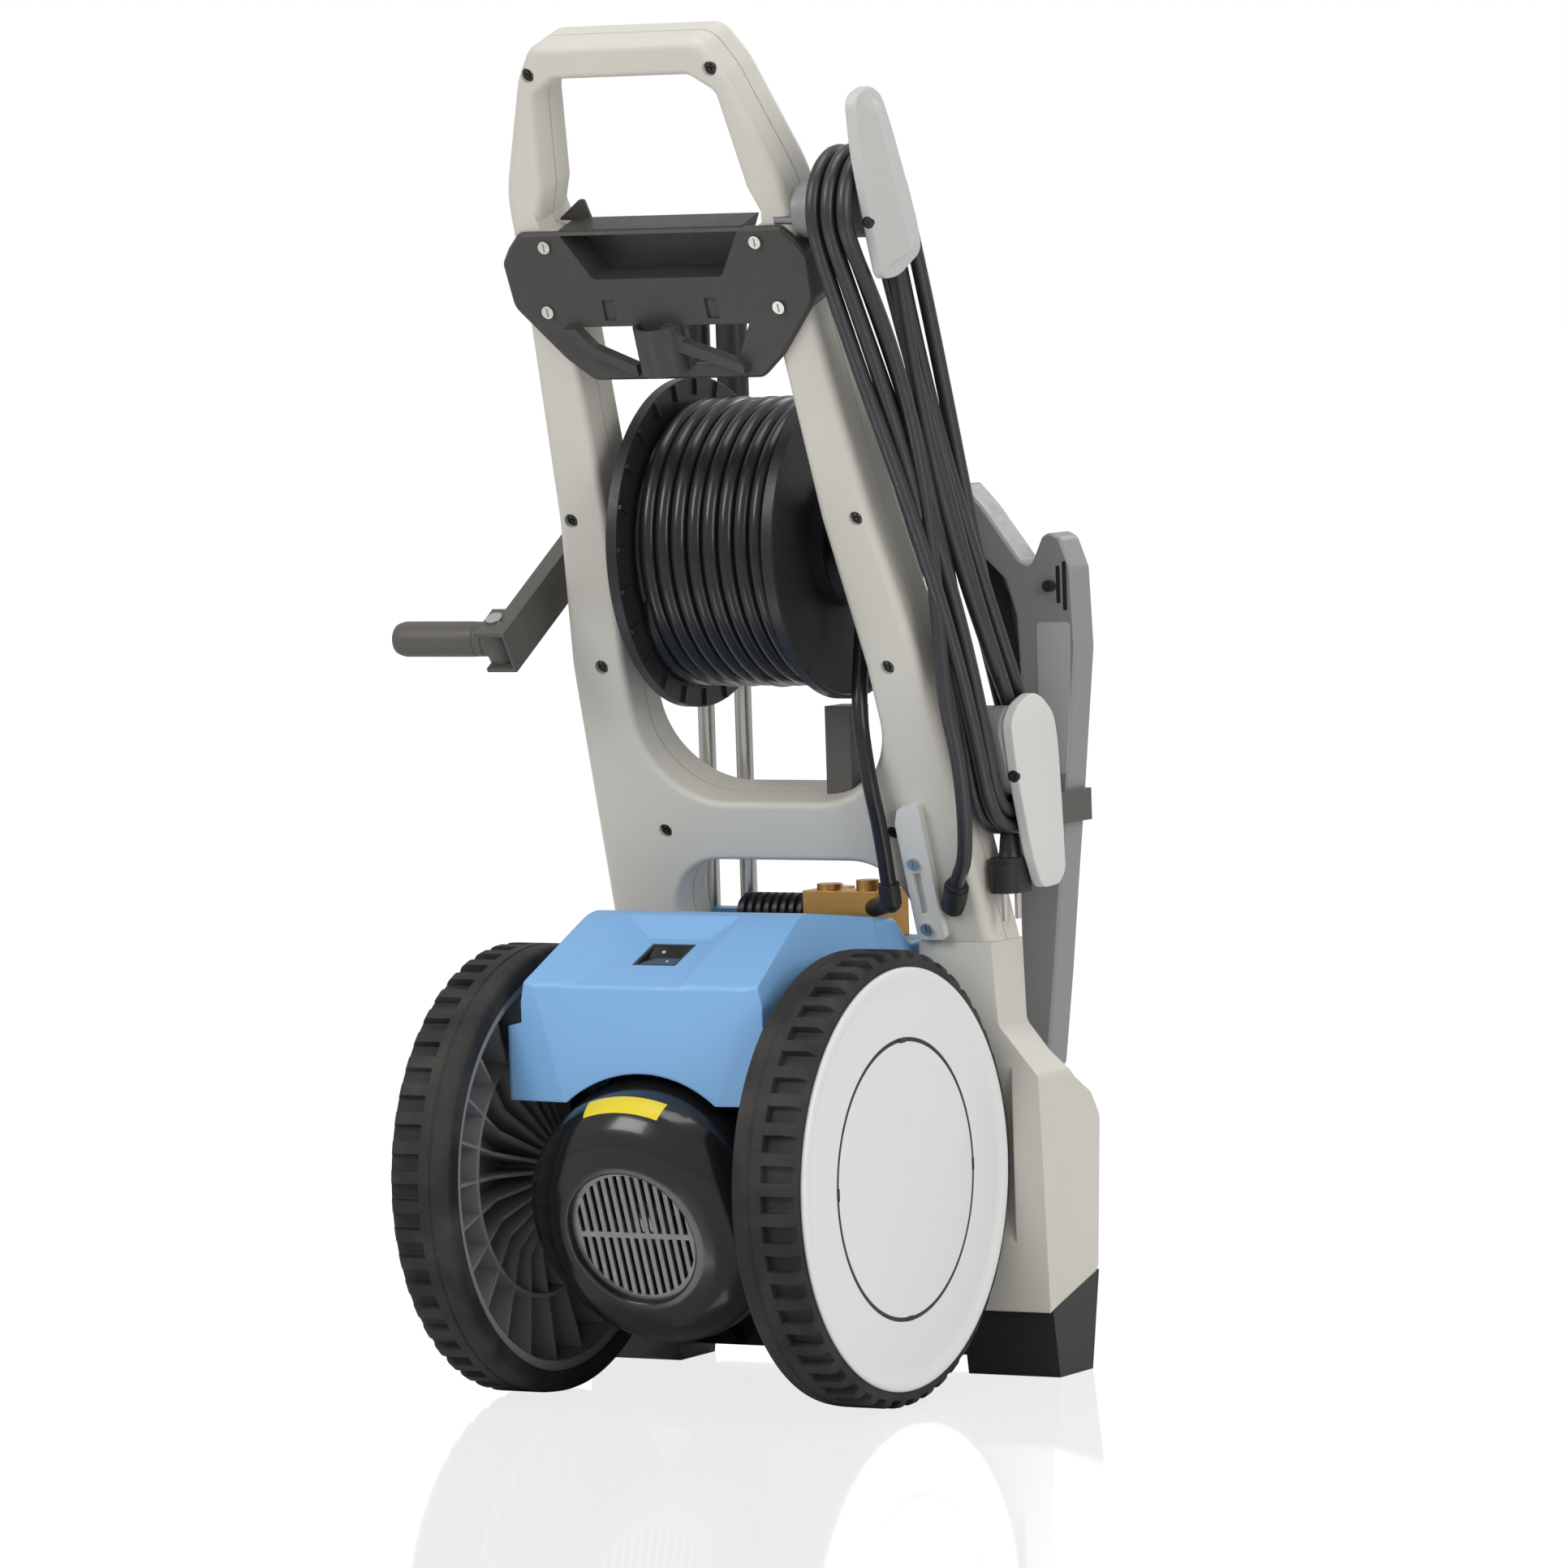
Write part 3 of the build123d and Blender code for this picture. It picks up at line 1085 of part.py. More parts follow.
# ------------------------------------------------------------------ motor and pump
def fan_cover():
    """Domed fan cover with a collar for the grille, open at its front."""
    length, radius, rim_radius = FAN_COVER_LENGTH, FAN_COVER_RADIUS, GRILLE_RADIUS
    outer = [(rim_radius, 0), (rim_radius + 6, 0), (66, -3), (76, -8.5), (83, -15), (88.5, -23),
             (radius, -32), (radius, -length)]
    inner = [(radius - FAN_WALL, -length), (radius - FAN_WALL, -32), (86, -24), (80.5, -17),
             (74, -11), (65, -6), (rim_radius + 5, -3.2), (rim_radius + FAN_WALL, -3.2),
             (rim_radius + FAN_WALL, -GRILLE_RECESS - 5), (rim_radius - 3, -GRILLE_RECESS - 5),
             (rim_radius - 3, -GRILLE_RECESS - 2.5), (rim_radius, -GRILLE_RECESS - 2.5)]
    return on_motor(turned(outer + inner))


def fan_grille():
    """Round grille of straight slats in the fan cover's collar."""
    body = disc(-GRILLE_RECESS - 2.5, -GRILLE_RECESS, GRILLE_RADIUS)
    pitch = 2 * (GRILLE_RADIUS - 5) / GRILLE_SLATS
    field = disc(-20, 0, GRILLE_RADIUS - 3.5)
    for index in range(GRILLE_SLATS):
        x = -GRILLE_RADIUS + 5 + pitch * (index + 0.5)
        slot = box((x - 1.6, -60, -20), (x + 1.6, -2, 0)) + box((x - 1.6, 2, -20), (x + 1.6, 60, 0))
        body -= slot & field
    return on_motor(body)


def cooling_fan():
    """Radial fan on the motor shaft."""
    body = disc(-44, -24, 16) + disc(-44, -42, FAN_RADIUS - 4)
    blade = box((14, -1.2, -43), (FAN_RADIUS, 1.2, -26))
    body += around(FAN_BLADES, blade)
    return on_motor(body - disc(-60, 0, SHAFT_RADIUS))


def motor_housing():
    """Finned housing with a shield at each end, bored for the shaft."""
    body = disc(-174, -52, MOTOR_CORE) + disc(-62, -52, FAN_COVER_RADIUS - FAN_WALL)
    fin = box((MOTOR_CORE - 1, -1.1, -170), (MOTOR_RADIUS, 1.1, -61))
    body += around(MOTOR_FINS, fin)
    for angle in range(0, 360, 30):
        body -= Rot(0, 0, angle + 15) * Pos(77, 0, -57) * Cylinder(4, 20)
    body -= disc(-166, -60, MOTOR_CORE - 6)
    return on_motor(body - disc(-200, 0, SHAFT_RADIUS + RUNNING))


def motor_shaft():
    """Shaft with the rotor and the slanted plate that drives the pump."""
    body = disc(-226, -22, SHAFT_RADIUS) + disc(-150, -76, ROTOR_RADIUS)
    plate = disc(-221, -199, 34)
    plate &= Pos(0, 0, -210) * Rot(9, 0, 0) * Cylinder(60, 12)
    return on_motor(body + plate)



def pump_crankcase():
    """Oil-filled case of the pump, bolted to the motor."""
    body = disc(-254, -174, CRANKCASE_RADIUS) - disc(-246, -182, CRANKCASE_RADIUS - 8)
    for angle in range(0, 360, 60):
        body += Rot(0, 0, angle + 30) * Pos(CRANKCASE_RADIUS - 2, 0, -214) * Cylinder(6, 80)
    return on_motor(body - disc(-190, -170, SHAFT_RADIUS + RUNNING))


def pump_head():
    """Brass head with valve caps and the outlet block that stands above the hood."""
    half = HEAD_HALF
    body = slab(RectangleRounded(2 * half, 2 * half, 10), -304, -254)
    for angle in range(0, 360, 120):
        body += Rot(0, 0, angle + 90) * Pos(26, 0, -306) * Cylinder(9, 8)
    body = on_motor(body)
    tower = box(TOWER_LOW, TOWER_HIGH)
    tower -= box((-45, -190, 322), (-20, -164, 340))
    tower += rod((-48, -156, 330), (-48, -156, 341), 8)
    tower += rod((-18, -156, 330), (-18, -156, 338), 9)
    body += prism_y(Pos(KNOB_X, KNOB_Z) * Circle(11), -212, -170)
    body += tower
    body -= prism_y(Pos(KNOB_X, KNOB_Z) * Circle(7 + RUNNING), -220, -200)
    return body - hose_sleeve()


def outlet_boot():
    """Black ribbed sleeve beside the outlet block."""
    body = rod((-4, -165, 317), (56, -165, 317), 10.5)
    for index in range(8):
        body += rod((3 + index * 6.6, -165, 317), (6.4 + index * 6.6, -165, 317), 13.5)
    return body


def inlet_coupling():
    """Water inlet with a barb collar, in the front cover."""
    body = rod((-30, -243, 148), (-30, -196, 148), 8) + rod((-30, -240, 148), (-30, -233, 148), 14)
    body += rod((-30, -233.5, 148), (-30, -210, 148), 11) + rod((-30, -196, 148), (-30, -196, 176), 8)
    body = body - rod((-30, -244, 148), (-30, -200, 148), 5.5)
    return body - on_motor(slab(RectangleRounded(2 * HEAD_HALF, 2 * HEAD_HALF, 10), -304, -254))





def pressure_knob():
    """Grooved knob of the pressure regulator with its stem."""
    body = prism_y(Pos(KNOB_X, KNOB_Z) * Circle(KNOB_RADIUS), FRONT_Y, HOOD_FRONT_Y - GAP)
    for index in range(12):
        angle = radians(30 * index)
        x = KNOB_X + (KNOB_RADIUS + 1.2) * cos(angle)
        z = KNOB_Z + (KNOB_RADIUS + 1.2) * sin(angle)
        body -= prism_y(Pos(x, z) * Circle(2.6), FRONT_Y - 1, FRONT_Y + 22)
    return body + prism_y(Pos(KNOB_X, KNOB_Z) * Circle(7), HOOD_FRONT_Y - 1, -201)



# ------------------------------------------------------------------ gun and lances
def gun_body():
    """Closed gun body with a pocket for the trigger and a bore for its pipe."""
    radii = [4, 6, 8, 4, 6, 6, 6, 12, 30, 0, 0, 0, 5, 5, 0, 0, 6, 8, 10, 10, 6]
    face = rounded(GUN_OUTLINE, radii)
    body = prism_y(face, GUN_FRONT_Y, GUN_REAR_Y)
    body = chamfer(body.faces().sort_by(Axis.Y)[-1].edges(), 1.6)
    middle = (GUN_FRONT_Y + GUN_REAR_Y) / 2
    x, z = TRIGGER_PIVOT
    room = offset(Pos(-x, -z) * outline(TRIGGER_OUTLINE), 2.5, kind=Kind.INTERSECTION)
    half = TRIGGER_THICK / 2 + GAP
    for angle in (0, TRIGGER_TRAVEL / 2, TRIGGER_TRAVEL):
        body -= prism_y(Pos(x, z) * Rot(0, 0, angle) * room, middle - half, middle + half)
    body -= prism_y(Pos(*TRIGGER_PIVOT) * Circle(3), middle - 11, middle + 11)
    body -= rod((GUN_PIPE[0], middle, 190), (GUN_PIPE[0] - 12, middle, 420), GUN_PIPE[1])
    return body - prism_y(Pos(*CATCH_PLACE) * Circle(CATCH_RADIUS + RUNNING), -260, -200)


def gun_pipe():
    """Steel pipe in the gun, with the coupling socket at its lower end."""
    middle = (GUN_FRONT_Y + GUN_REAR_Y) / 2
    top = (GUN_PIPE[0] - 12, middle, 420)
    foot = (GUN_PIPE[0], middle, 190)
    pipe = rod(foot, top, GUN_PIPE[1]) & box((-200, -300, 192), (0, -100, 420))
    return pipe - rod((GUN_PIPE[0] + 0.2, middle, 186), (GUN_PIPE[0] - 1.4, middle, 220), 4.5)


def gun_trigger():
    """Long trigger on its cross pin."""
    middle = (GUN_FRONT_Y + GUN_REAR_Y) / 2
    half = TRIGGER_THICK / 2
    blade = prism_y(outline(TRIGGER_OUTLINE), middle - half, middle + half)
    return blade + prism_y(Pos(*TRIGGER_PIVOT) * Circle(3 - RUNNING), middle - 10.6, middle + 10.6)


def gun_catch():
    """Cross bolt of the safety catch, pushed from one side of the gun to the other."""
    x, z = CATCH_PLACE
    return prism_y(Pos(x, z) * Circle(CATCH_RADIUS), GUN_FRONT_Y + 0.5, GUN_REAR_Y + CATCH_TRAVEL)


def gun_holder():
    """Cradle on the front of the right column that the gun drops into."""
    body = box((-177, GUN_FRONT_Y, 377), (-118, -150, 399)) - frame_solid()
    body -= box((-200, -201, 370), (-146, -100, 430))
    pocket = offset(outline(GUN_OUTLINE), GAP, kind=Kind.INTERSECTION)
    body -= prism_y(pocket, GUN_FRONT_Y - 1, GUN_REAR_Y + GAP)
    return body


def lance(index):
    """Spray lance: steel tube with its nozzle at the foot."""
    x = LANCE_X[index]
    body = rod((x, LANCE_Y, LANCE_FOOT_Z), (x, LANCE_Y, LANCE_TOP_Z), LANCE_RADIUS)
    return body - rod((x, LANCE_Y, LANCE_FOOT_Z + 8), (x, LANCE_Y, LANCE_TOP_Z + 1), LANCE_RADIUS - 2)


def lance_sleeve(index):
    """Moulded sleeve and coupling at the lance's upper end."""
    x = LANCE_X[index]
    body = rod((x, LANCE_Y, LANCE_TOP_Z - 76), (x, LANCE_Y, LANCE_TOP_Z - 12), LANCE_SLEEVE)
    return body - rod((x, LANCE_Y, 300), (x, LANCE_Y, LANCE_TOP_Z), LANCE_RADIUS)



def lance_clip():
    """Upper clip of the lances, moulded on the front of the cross bar."""
    body = box((62, -210, 364), (112, -150, 388)) - frame_solid()
    body -= box((0, -155, 340), (200, -100, 420))
    for x in LANCE_X:
        body -= rod((x, LANCE_Y, 360), (x, LANCE_Y, 400), LANCE_RADIUS + GAP)
    return body


# ------------------------------------------------------------------ export
def gather():
    """Every piece by node name; a list holds equal fasteners of one node."""
    blank = frame_blank()
    rear, front = frame_shells(blank)
    left_cover = side_cover()
    pieces = {
        "frame_rear_shell": rear,
        "frame_front_shell": front,
        "frame_screws": frame_screws(),
        "column_bracket": column_bracket(),
        "holder_plate": holder_plate(),
        "panel_screws": panel_screws(),
        "base_tray": base_tray(),
        "side_cover_left": left_cover,
        "side_cover_right": mirrored(left_cover),
        "front_cover": front_cover(),
        "motor_bonnet": motor_bonnet(),
        "pump_hood": pump_hood(),
        "switch_housing": switch_housing(),
        "switch_rocker": switch_rocker(),
        "fan_cover": fan_cover(),
        "fan_grille": fan_grille(),
        "cooling_fan": cooling_fan(),
        "motor_housing": motor_housing(),
        "motor_shaft": motor_shaft(),
        "pump_crankcase": pump_crankcase(),
        "pump_head": pump_head(),
        "outlet_boot": outlet_boot(),
        "inlet_coupling": inlet_coupling(),
        "pressure_knob": pressure_knob(),
        "drum_flange_left": on_drum(flange(FLANGE_RADIUS, True)),
        "drum_flange_right": on_drum(Rot(0, 180, 0) * flange(FLANGE_RIGHT_RADIUS, False)),
        "drum_shaft": drum_shaft(),
        "hose_coil": hose_coil(),
        "drum_bearings": [drum_bearing(1), drum_bearing(-1)],
        "link_hose": link_hose(),
        "hose_sleeve": hose_sleeve(),
        "drum_block": drum_block(),
        "crank_arm": crank_arm(),
        "fold_pin": fold_pin(),
        "crank_knuckle": crank_knuckle(),
        "crank_grip": crank_grip(),
        "hook_necks": [upper_neck(), lower_neck()],
        "hook_upper": hook_upper(),
        "hook_lower": hook_lower(),
        "cable_gland": cable_gland(),
        "power_cable": swept(cable_route(), CABLE_DIAMETER / 2, "power cable"),
        "cable_coil": cable_coil(),
        "plug": plug(),
        "plug_pins": plug_pins(),
        "gun_body": gun_body(),
        "gun_pipe": gun_pipe(),
        "gun_trigger": gun_trigger(),
        "gun_catch": gun_catch(),
        "gun_holder": gun_holder(),
        "stub_axles": [axle(), mirrored(axle())],
    }
    for index, name in enumerate(("lance_narrow", "lance_wide")):
        pieces[name] = lance(index)
        pieces[name + "_sleeve"] = lance_sleeve(index)
    for name, make in (("tyre", tyre), ("rim", rim), ("hubcap", hubcap)):
        shape = make()
        pieces[name + "_left"] = shape
        pieces[name + "_right"] = mirrored(shape)
    return pieces


def main():
    """Moves every piece to the shared origin and writes it."""
    os.makedirs("parts", exist_ok=True)
    for name, piece in gather().items():
        shapes = piece if isinstance(piece, list) else [piece]
        solids = [solid for shape in shapes for solid in shape.solids()]
        solids = [Pos(-ORIGIN_X, -ORIGIN_Y, 0) * solid for solid in solids]
        shape = solids[0] if len(solids) == 1 else Compound(children=solids)
        export_step(shape, "parts/" + name + ".step")


if __name__ == "__main__":
    main()
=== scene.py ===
"""Dressed scene of an upright pressure washer on two wheels.

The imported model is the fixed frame. This script gives every piece its finish, and puts
detailed surfaces, the mains cable and the hoses over the plain solids. Sizes are in
millimetres about the middle of the wheel axle, +X to the crank, +Y to the motor, +Z up.
"""
from __future__ import annotations

import logging
from dataclasses import dataclass
from enum import Enum
from math import cos, pi, radians, sin
from typing import Sequence

import bmesh
import bpy
import numpy as np
from mathutils import Matrix

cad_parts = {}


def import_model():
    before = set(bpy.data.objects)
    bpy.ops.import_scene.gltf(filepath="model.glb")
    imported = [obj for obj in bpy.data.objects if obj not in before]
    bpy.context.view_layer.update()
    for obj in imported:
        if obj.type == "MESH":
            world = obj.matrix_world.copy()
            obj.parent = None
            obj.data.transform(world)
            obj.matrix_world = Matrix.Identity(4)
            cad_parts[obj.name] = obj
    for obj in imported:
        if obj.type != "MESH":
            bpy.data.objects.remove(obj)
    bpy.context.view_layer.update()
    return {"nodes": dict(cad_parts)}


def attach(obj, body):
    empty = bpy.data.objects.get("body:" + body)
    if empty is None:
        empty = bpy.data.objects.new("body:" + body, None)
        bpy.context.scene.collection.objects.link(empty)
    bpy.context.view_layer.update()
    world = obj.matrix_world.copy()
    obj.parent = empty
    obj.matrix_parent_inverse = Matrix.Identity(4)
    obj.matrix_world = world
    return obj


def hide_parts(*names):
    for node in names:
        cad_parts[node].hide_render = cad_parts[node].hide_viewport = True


LOG = logging.getLogger("washer")
ORIGIN = np.array([27.25, -46.0, 0.0])      # bottom centre of the whole machine
LEAN = radians(19.4)                        # lean of the frame and of the motor
GRAIN_DEPTH = 0.0004                        # metres between the grain's low and high places
COAT_ROUGHNESS = 0.08
WHITE = (1.0, 1.0, 1.0, 1.0)
Pair = tuple[float, float]
Points = Sequence[Pair]
Outline = tuple[Pair, ...]
Place = tuple[float, float, float]
Colour = tuple[int, int, int]
Tree = bpy.types.NodeTree
Socket = bpy.types.NodeSocket


class Body(Enum):
    """Moving groups of the frame that new pieces ride on."""

    CHASSIS = "chassis"
    DRUM = "drum"
    HOOK = "hook_upper"
    GUN = "gun"
    WHEEL_LEFT = "wheel_left"
    WHEEL_RIGHT = "wheel_right"
    ROCKER = "rocker"
    GRIP = "crank_grip"


class Slot(Enum):
    """Material slots of the record."""

    SHELL = "shell_grey"
    MID = "mid_grey"
    BLACK = "black_plastic"
    HUBCAP = "hubcap_grey"
    TYRE = "tyre"
    HOSE = "hose_black"
    CABLE = "cable_grey"


# ---------------- geometry helpers
def to_row(points: np.ndarray) -> np.ndarray:
    """Millimetres about the axle to metres about the machine's bottom centre."""
    return (np.asarray(points, float) - ORIGIN) / 1000.0


def softened(points: Points, radii: Sequence[float], closed: bool = True,
             steps: int = 5) -> np.ndarray:
    """Outline whose corners are replaced by parabolic arcs.

    Each corner P between neighbours A and B starts and ends its arc at the corner's radius
    from P, at most 0.45 of the side, and follows (1-t)^2 S + 2t(1-t) P + t^2 E.

    Args:
        points: Corners in order.
        radii: One distance for each corner, 0 for a sharp one.
        closed: True where the last corner joins the first.
        steps: Points on each arc.

    Returns:
        Array of (n, 2) points.
    """
    corner = np.asarray(points, float)
    before, after = np.roll(corner, 1, 0), np.roll(corner, -1, 0)
    long_in = np.linalg.norm(corner - before, axis=1)
    long_out = np.linalg.norm(after - corner, axis=1)
    reach = np.minimum(np.asarray(radii, float), 0.45 * np.minimum(long_in, long_out))
    if not closed:
        reach[0] = reach[-1] = 0.0
    start = corner + (before - corner) * (reach / np.maximum(long_in, 1e-9))[:, None]
    end = corner + (after - corner) * (reach / np.maximum(long_out, 1e-9))[:, None]
    t = np.linspace(0.0, 1.0, steps)[None, :, None]
    arcs = (1 - t) ** 2 * start[:, None] + 2 * t * (1 - t) * corner[:, None] + t ** 2 * end[:, None]
    line = arcs.reshape(-1, 2)
    keep = np.ones(len(line), bool)
    keep[1:] = np.linalg.norm(np.diff(line, axis=0), axis=1) > 1e-4
    return line[keep]


def travelled(line: np.ndarray) -> np.ndarray:
    """Distance along a line to each of its points."""
    return np.concatenate([[0.0], np.cumsum(np.linalg.norm(np.diff(line, axis=0), axis=1))])


def at_distances(line: np.ndarray, place: np.ndarray) -> np.ndarray:
    """Places on a line at distances along it."""
    run = travelled(line)
    return np.stack([np.interp(place, run, line[:, k]) for k in range(2)], axis=1)


def evened(line: np.ndarray, count: int) -> np.ndarray:
    """Closed outline with its points spread evenly along its length."""
    loop = np.vstack([line, line[:1]])
    return at_distances(loop, np.linspace(0.0, travelled(loop)[-1], count, endpoint=False))


def drawn_in(line: np.ndarray, inset: float) -> np.ndarray:
    """Closed outline moved inwards by the inset along its own normals."""
    ahead, behind = np.roll(line, -1, 0), np.roll(line, 1, 0)
    along = ahead - behind
    normal = np.stack([-along[:, 1], along[:, 0]], axis=1)
    normal /= np.maximum(np.linalg.norm(normal, axis=1), 1e-9)[:, None]
    area = 0.5 * np.sum(line[:, 0] * ahead[:, 1] - ahead[:, 0] * line[:, 1])
    return line + normal * inset * np.sign(area)


def smooth_step(value: np.ndarray, low: float, high: float) -> np.ndarray:
    """0 below low, 1 above high, and 3t^2 - 2t^3 between them."""
    t = np.clip((value - low) / (high - low), 0.0, 1.0)
    return t * t * (3 - 2 * t)


@dataclass(frozen=True)
class Patch:
    """Grid of points, and whether its rows or columns close on themselves."""

    points: np.ndarray
    round_u: bool = False
    round_v: bool = False
    capped: bool = False

    def faces(self, first: int) -> list[list[int]]:
        """Quads between neighbouring grid points, numbered from first, and any end faces."""
        n, m = self.points.shape[:2]
        i = np.arange(n if self.round_u else n - 1)[:, None]
        j = np.arange(m if self.round_v else m - 1)[None, :]
        i2, j2 = (i + 1) % n, (j + 1) % m
        quads = np.stack([i * m + j, i2 * m + j, i2 * m + j2, i * m + j2], axis=-1)
        found = (quads.reshape(-1, 4) + first).tolist()
        if self.capped:
            found.append((first + np.arange(m)[::-1]).tolist())
            found.append((first + (n - 1) * m + np.arange(m)).tolist())
        return found


def in_scene(name: str, data: bpy.types.ID) -> bpy.types.Object:
    """New object of the scene."""
    thing = bpy.data.objects.new(name, data)
    bpy.context.scene.collection.objects.link(thing)
    return thing


def skin(name: str, patches: Sequence[Patch], crease: float = 32.0) -> bpy.types.Object:
    """One mesh from its patches, welded, with its faces turned outwards.

    Args:
        name: Name of the piece.
        patches: Grids in millimetres about the axle.
        crease: Angle in degrees past which an edge is drawn sharp.

    Returns:
        The piece, at the origin, with its place in its mesh.
    """
    points, faces, first = [], [], 0
    for patch in patches:
        faces += patch.faces(first)
        flat = patch.points.reshape(-1, 3)
        points.append(to_row(flat))
        first += len(flat)
    mesh = bpy.data.meshes.new(name)
    mesh.from_pydata(np.vstack(points).tolist(), [], faces)
    work = bmesh.new()
    work.from_mesh(mesh)
    bmesh.ops.remove_doubles(work, verts=work.verts, dist=2e-6)
    bmesh.ops.recalc_face_normals(work, faces=work.faces)
    work.to_mesh(mesh)
    work.free()
    mesh.shade_smooth()
    mesh.set_sharp_from_angle(angle=radians(crease))
    return in_scene(name, mesh)


@dataclass(frozen=True)
class Axis:
    """Local frame: an origin and the directions of local X, Y and Z."""

    origin: Place
    x: Place
    y: Place
    z: Place

    def out(self, local: np.ndarray) -> np.ndarray:
        """Local points, an array of any depth, turned and moved to the machine."""
        turn = np.array([self.x, self.y, self.z], float)
        flat = local.reshape(-1, 3) @ turn + np.array(self.origin, float)
        return flat.reshape(local.shape)


ON_AXLE_LEFT = Axis((0, 0, 154), (0, 1, 0), (0, 0, 1), (1, 0, 0))
ON_AXLE_RIGHT = Axis((0, 0, 154), (0, 1, 0), (0, 0, 1), (-1, 0, 0))
ON_MOTOR = Axis((0, 98, 120), (1, 0, 0), (0, sin(LEAN), cos(LEAN)), (0, cos(LEAN), -sin(LEAN)))
ON_GRIP = Axis((0, -118 + 117.1 * cos(radians(31.4)), 577 - 117.1 * sin(radians(31.4))),
               (0, 1, 0), (0, 0, 1), (1, 0, 0))


def turned(radius: np.ndarray, height: np.ndarray, angle: np.ndarray, axis: Axis) -> np.ndarray:
    """Points (r cos a, r sin a, h), with a row for each angle and a column for each r and h."""
    across, up = radius * np.cos(angle)[:, None], radius * np.sin(angle)[:, None]
    return axis.out(np.stack([across, up, np.broadcast_to(height, across.shape)], axis=-1))


def lathe(profile: np.ndarray, axis: Axis, count: int = 128, start: float = 0.0,
          sweep: float = 2 * pi) -> np.ndarray:
    """Surface of revolution of the profile points (r, h), or a sector of one."""
    whole = sweep > 6.28
    angle = start + np.linspace(0.0, sweep, count, endpoint=not whole)
    return turned(profile[:, 0][None, :], profile[:, 1][None, :], angle, axis)


def rings(outline: np.ndarray, levels: Points, axis: Axis) -> np.ndarray:
    """Grid of a closed outline drawn in at each level, which is a height and an inset."""
    stack = [np.column_stack([drawn_in(outline, inset), np.full(len(outline), height)])
             for height, inset in levels]
    return axis.out(np.stack(stack))


def slab(outline: np.ndarray, levels: Points, axis: Axis) -> Patch:
    """Solid between the rings of an outline, closed at both ends."""
    return Patch(rings(outline, levels, axis), round_v=True, capped=True)


# ---------------- finishes
def linear(colour: Colour) -> tuple[float, ...]:
    """Display colour of 0 to 255 to linear light."""
    part = [c / 255 for c in colour]
    return (*[c / 12.92 if c <= 0.04045 else ((c + 0.055) / 1.055) ** 2.4 for c in part], 1.0)


@dataclass(frozen=True)
class Finish:
    """Moulded or cast finish with a fine grain, a faint mottle and softened corners.

    The colour is varied by a slow noise, the roughness by a faster one, and a third noise
    at the scale of the grain raises the surface.
    """

    name: str
    colour: Colour
    roughness: float = 0.5
    grain: float = 1500.0
    relief: float = 0.12
    mottle: float = 0.05
    corner: float = 0.9
    metallic: float = 0.0
    coat: float = 0.0
    specular: float = 0.5
    spread: float = 0.08
    mottle_scale: float = 7.0
    sheen_scale: float = 160.0

    def build(self) -> bpy.types.Material:
        """Makes the material once and returns it."""
        known = bpy.data.materials.get(self.name)
        if known:
            return known
        material = bpy.data.materials.new(self.name)
        material.use_nodes = True
        tree = material.node_tree
        shader = tree.nodes["Principled BSDF"]
        shader.inputs["Metallic"].default_value = self.metallic
        shader.inputs["Coat Weight"].default_value = self.coat
        shader.inputs["Coat Roughness"].default_value = COAT_ROUGHNESS
        shader.inputs["Specular IOR Level"].default_value = self.specular
        place = tree.nodes.new("ShaderNodeTexCoord").outputs["Object"]
        self.dress(tree, shader, place)
        return material

    def tinted(self, factor: float) -> tuple[float, ...]:
        """The finish's colour in linear light, made lighter or darker by a factor."""
        return tuple(min(1.0, c * factor) for c in linear(self.colour)[:3]) + (1.0,)

    def dress(self, tree: Tree, shader: bpy.types.Node, place: Socket) -> None:
        """Links colour, roughness and relief to the shader."""
        slow = noise(tree, place, self.mottle_scale, 3.0)
        quick = noise(tree, place, self.sheen_scale, 2.0)
        self.paint(tree, shader, slow, 1 - self.mottle, 1 + self.mottle)
        self.roughen(tree, shader, quick)
        self.raise_grain(tree, shader, noise(tree, place, self.grain, 2.0))

    def paint(self, tree: Tree, shader: bpy.types.Node, factor: Socket, low: float,
              high: float) -> None:
        """Varies the colour from its low to its high multiple by a factor."""
        link(tree, blend_colour(tree, factor, self.tinted(low), self.tinted(high)),
             shader.inputs["Base Color"])

    def roughen(self, tree: Tree, shader: bpy.types.Node, factor: Socket) -> None:
        """Varies the roughness by the spread to either side."""
        low, high = self.roughness - self.spread, self.roughness + self.spread
        link(tree, between(tree, factor, low, high), shader.inputs["Roughness"])

    def raise_grain(self, tree: Tree, shader: bpy.types.Node, height: Socket) -> None:
        """Bumps the surface by a height, over normals rounded at the corners."""
        bump = tree.nodes.new("ShaderNodeBump")
        bump.inputs["Strength"].default_value = self.relief
        bump.inputs["Distance"].default_value = GRAIN_DEPTH
        link(tree, height, bump.inputs["Height"])
        if self.corner:
            bevel = tree.nodes.new("ShaderNodeBevel")
            bevel.samples = 4
            bevel.inputs["Radius"].default_value = self.corner / 1000
            link(tree, bevel.outputs["Normal"], bump.inputs["Normal"])
        link(tree, bump.outputs["Normal"], shader.inputs["Normal"])


@dataclass(frozen=True)
class Brushed(Finish):
    """Drawn or turned metal: the noise is stretched along Z into fine lines."""

    stretch: float = 0.04

    def dress(self, tree: Tree, shader: bpy.types.Node, place: Socket) -> None:
        """Links a stretched noise to roughness and relief."""
        mapping = tree.nodes.new("ShaderNodeMapping")
        mapping.inputs["Scale"].default_value = (1.0, 1.0, self.stretch)
        link(tree, place, mapping.inputs["Vector"])
        lines = noise(tree, mapping.outputs["Vector"], self.grain, 3.0)
        self.paint(tree, shader, noise(tree, place, 40.0, 2.0), 1 - 2 * self.mottle, 1.0)
        self.roughen(tree, shader, lines)
        self.raise_grain(tree, shader, lines)


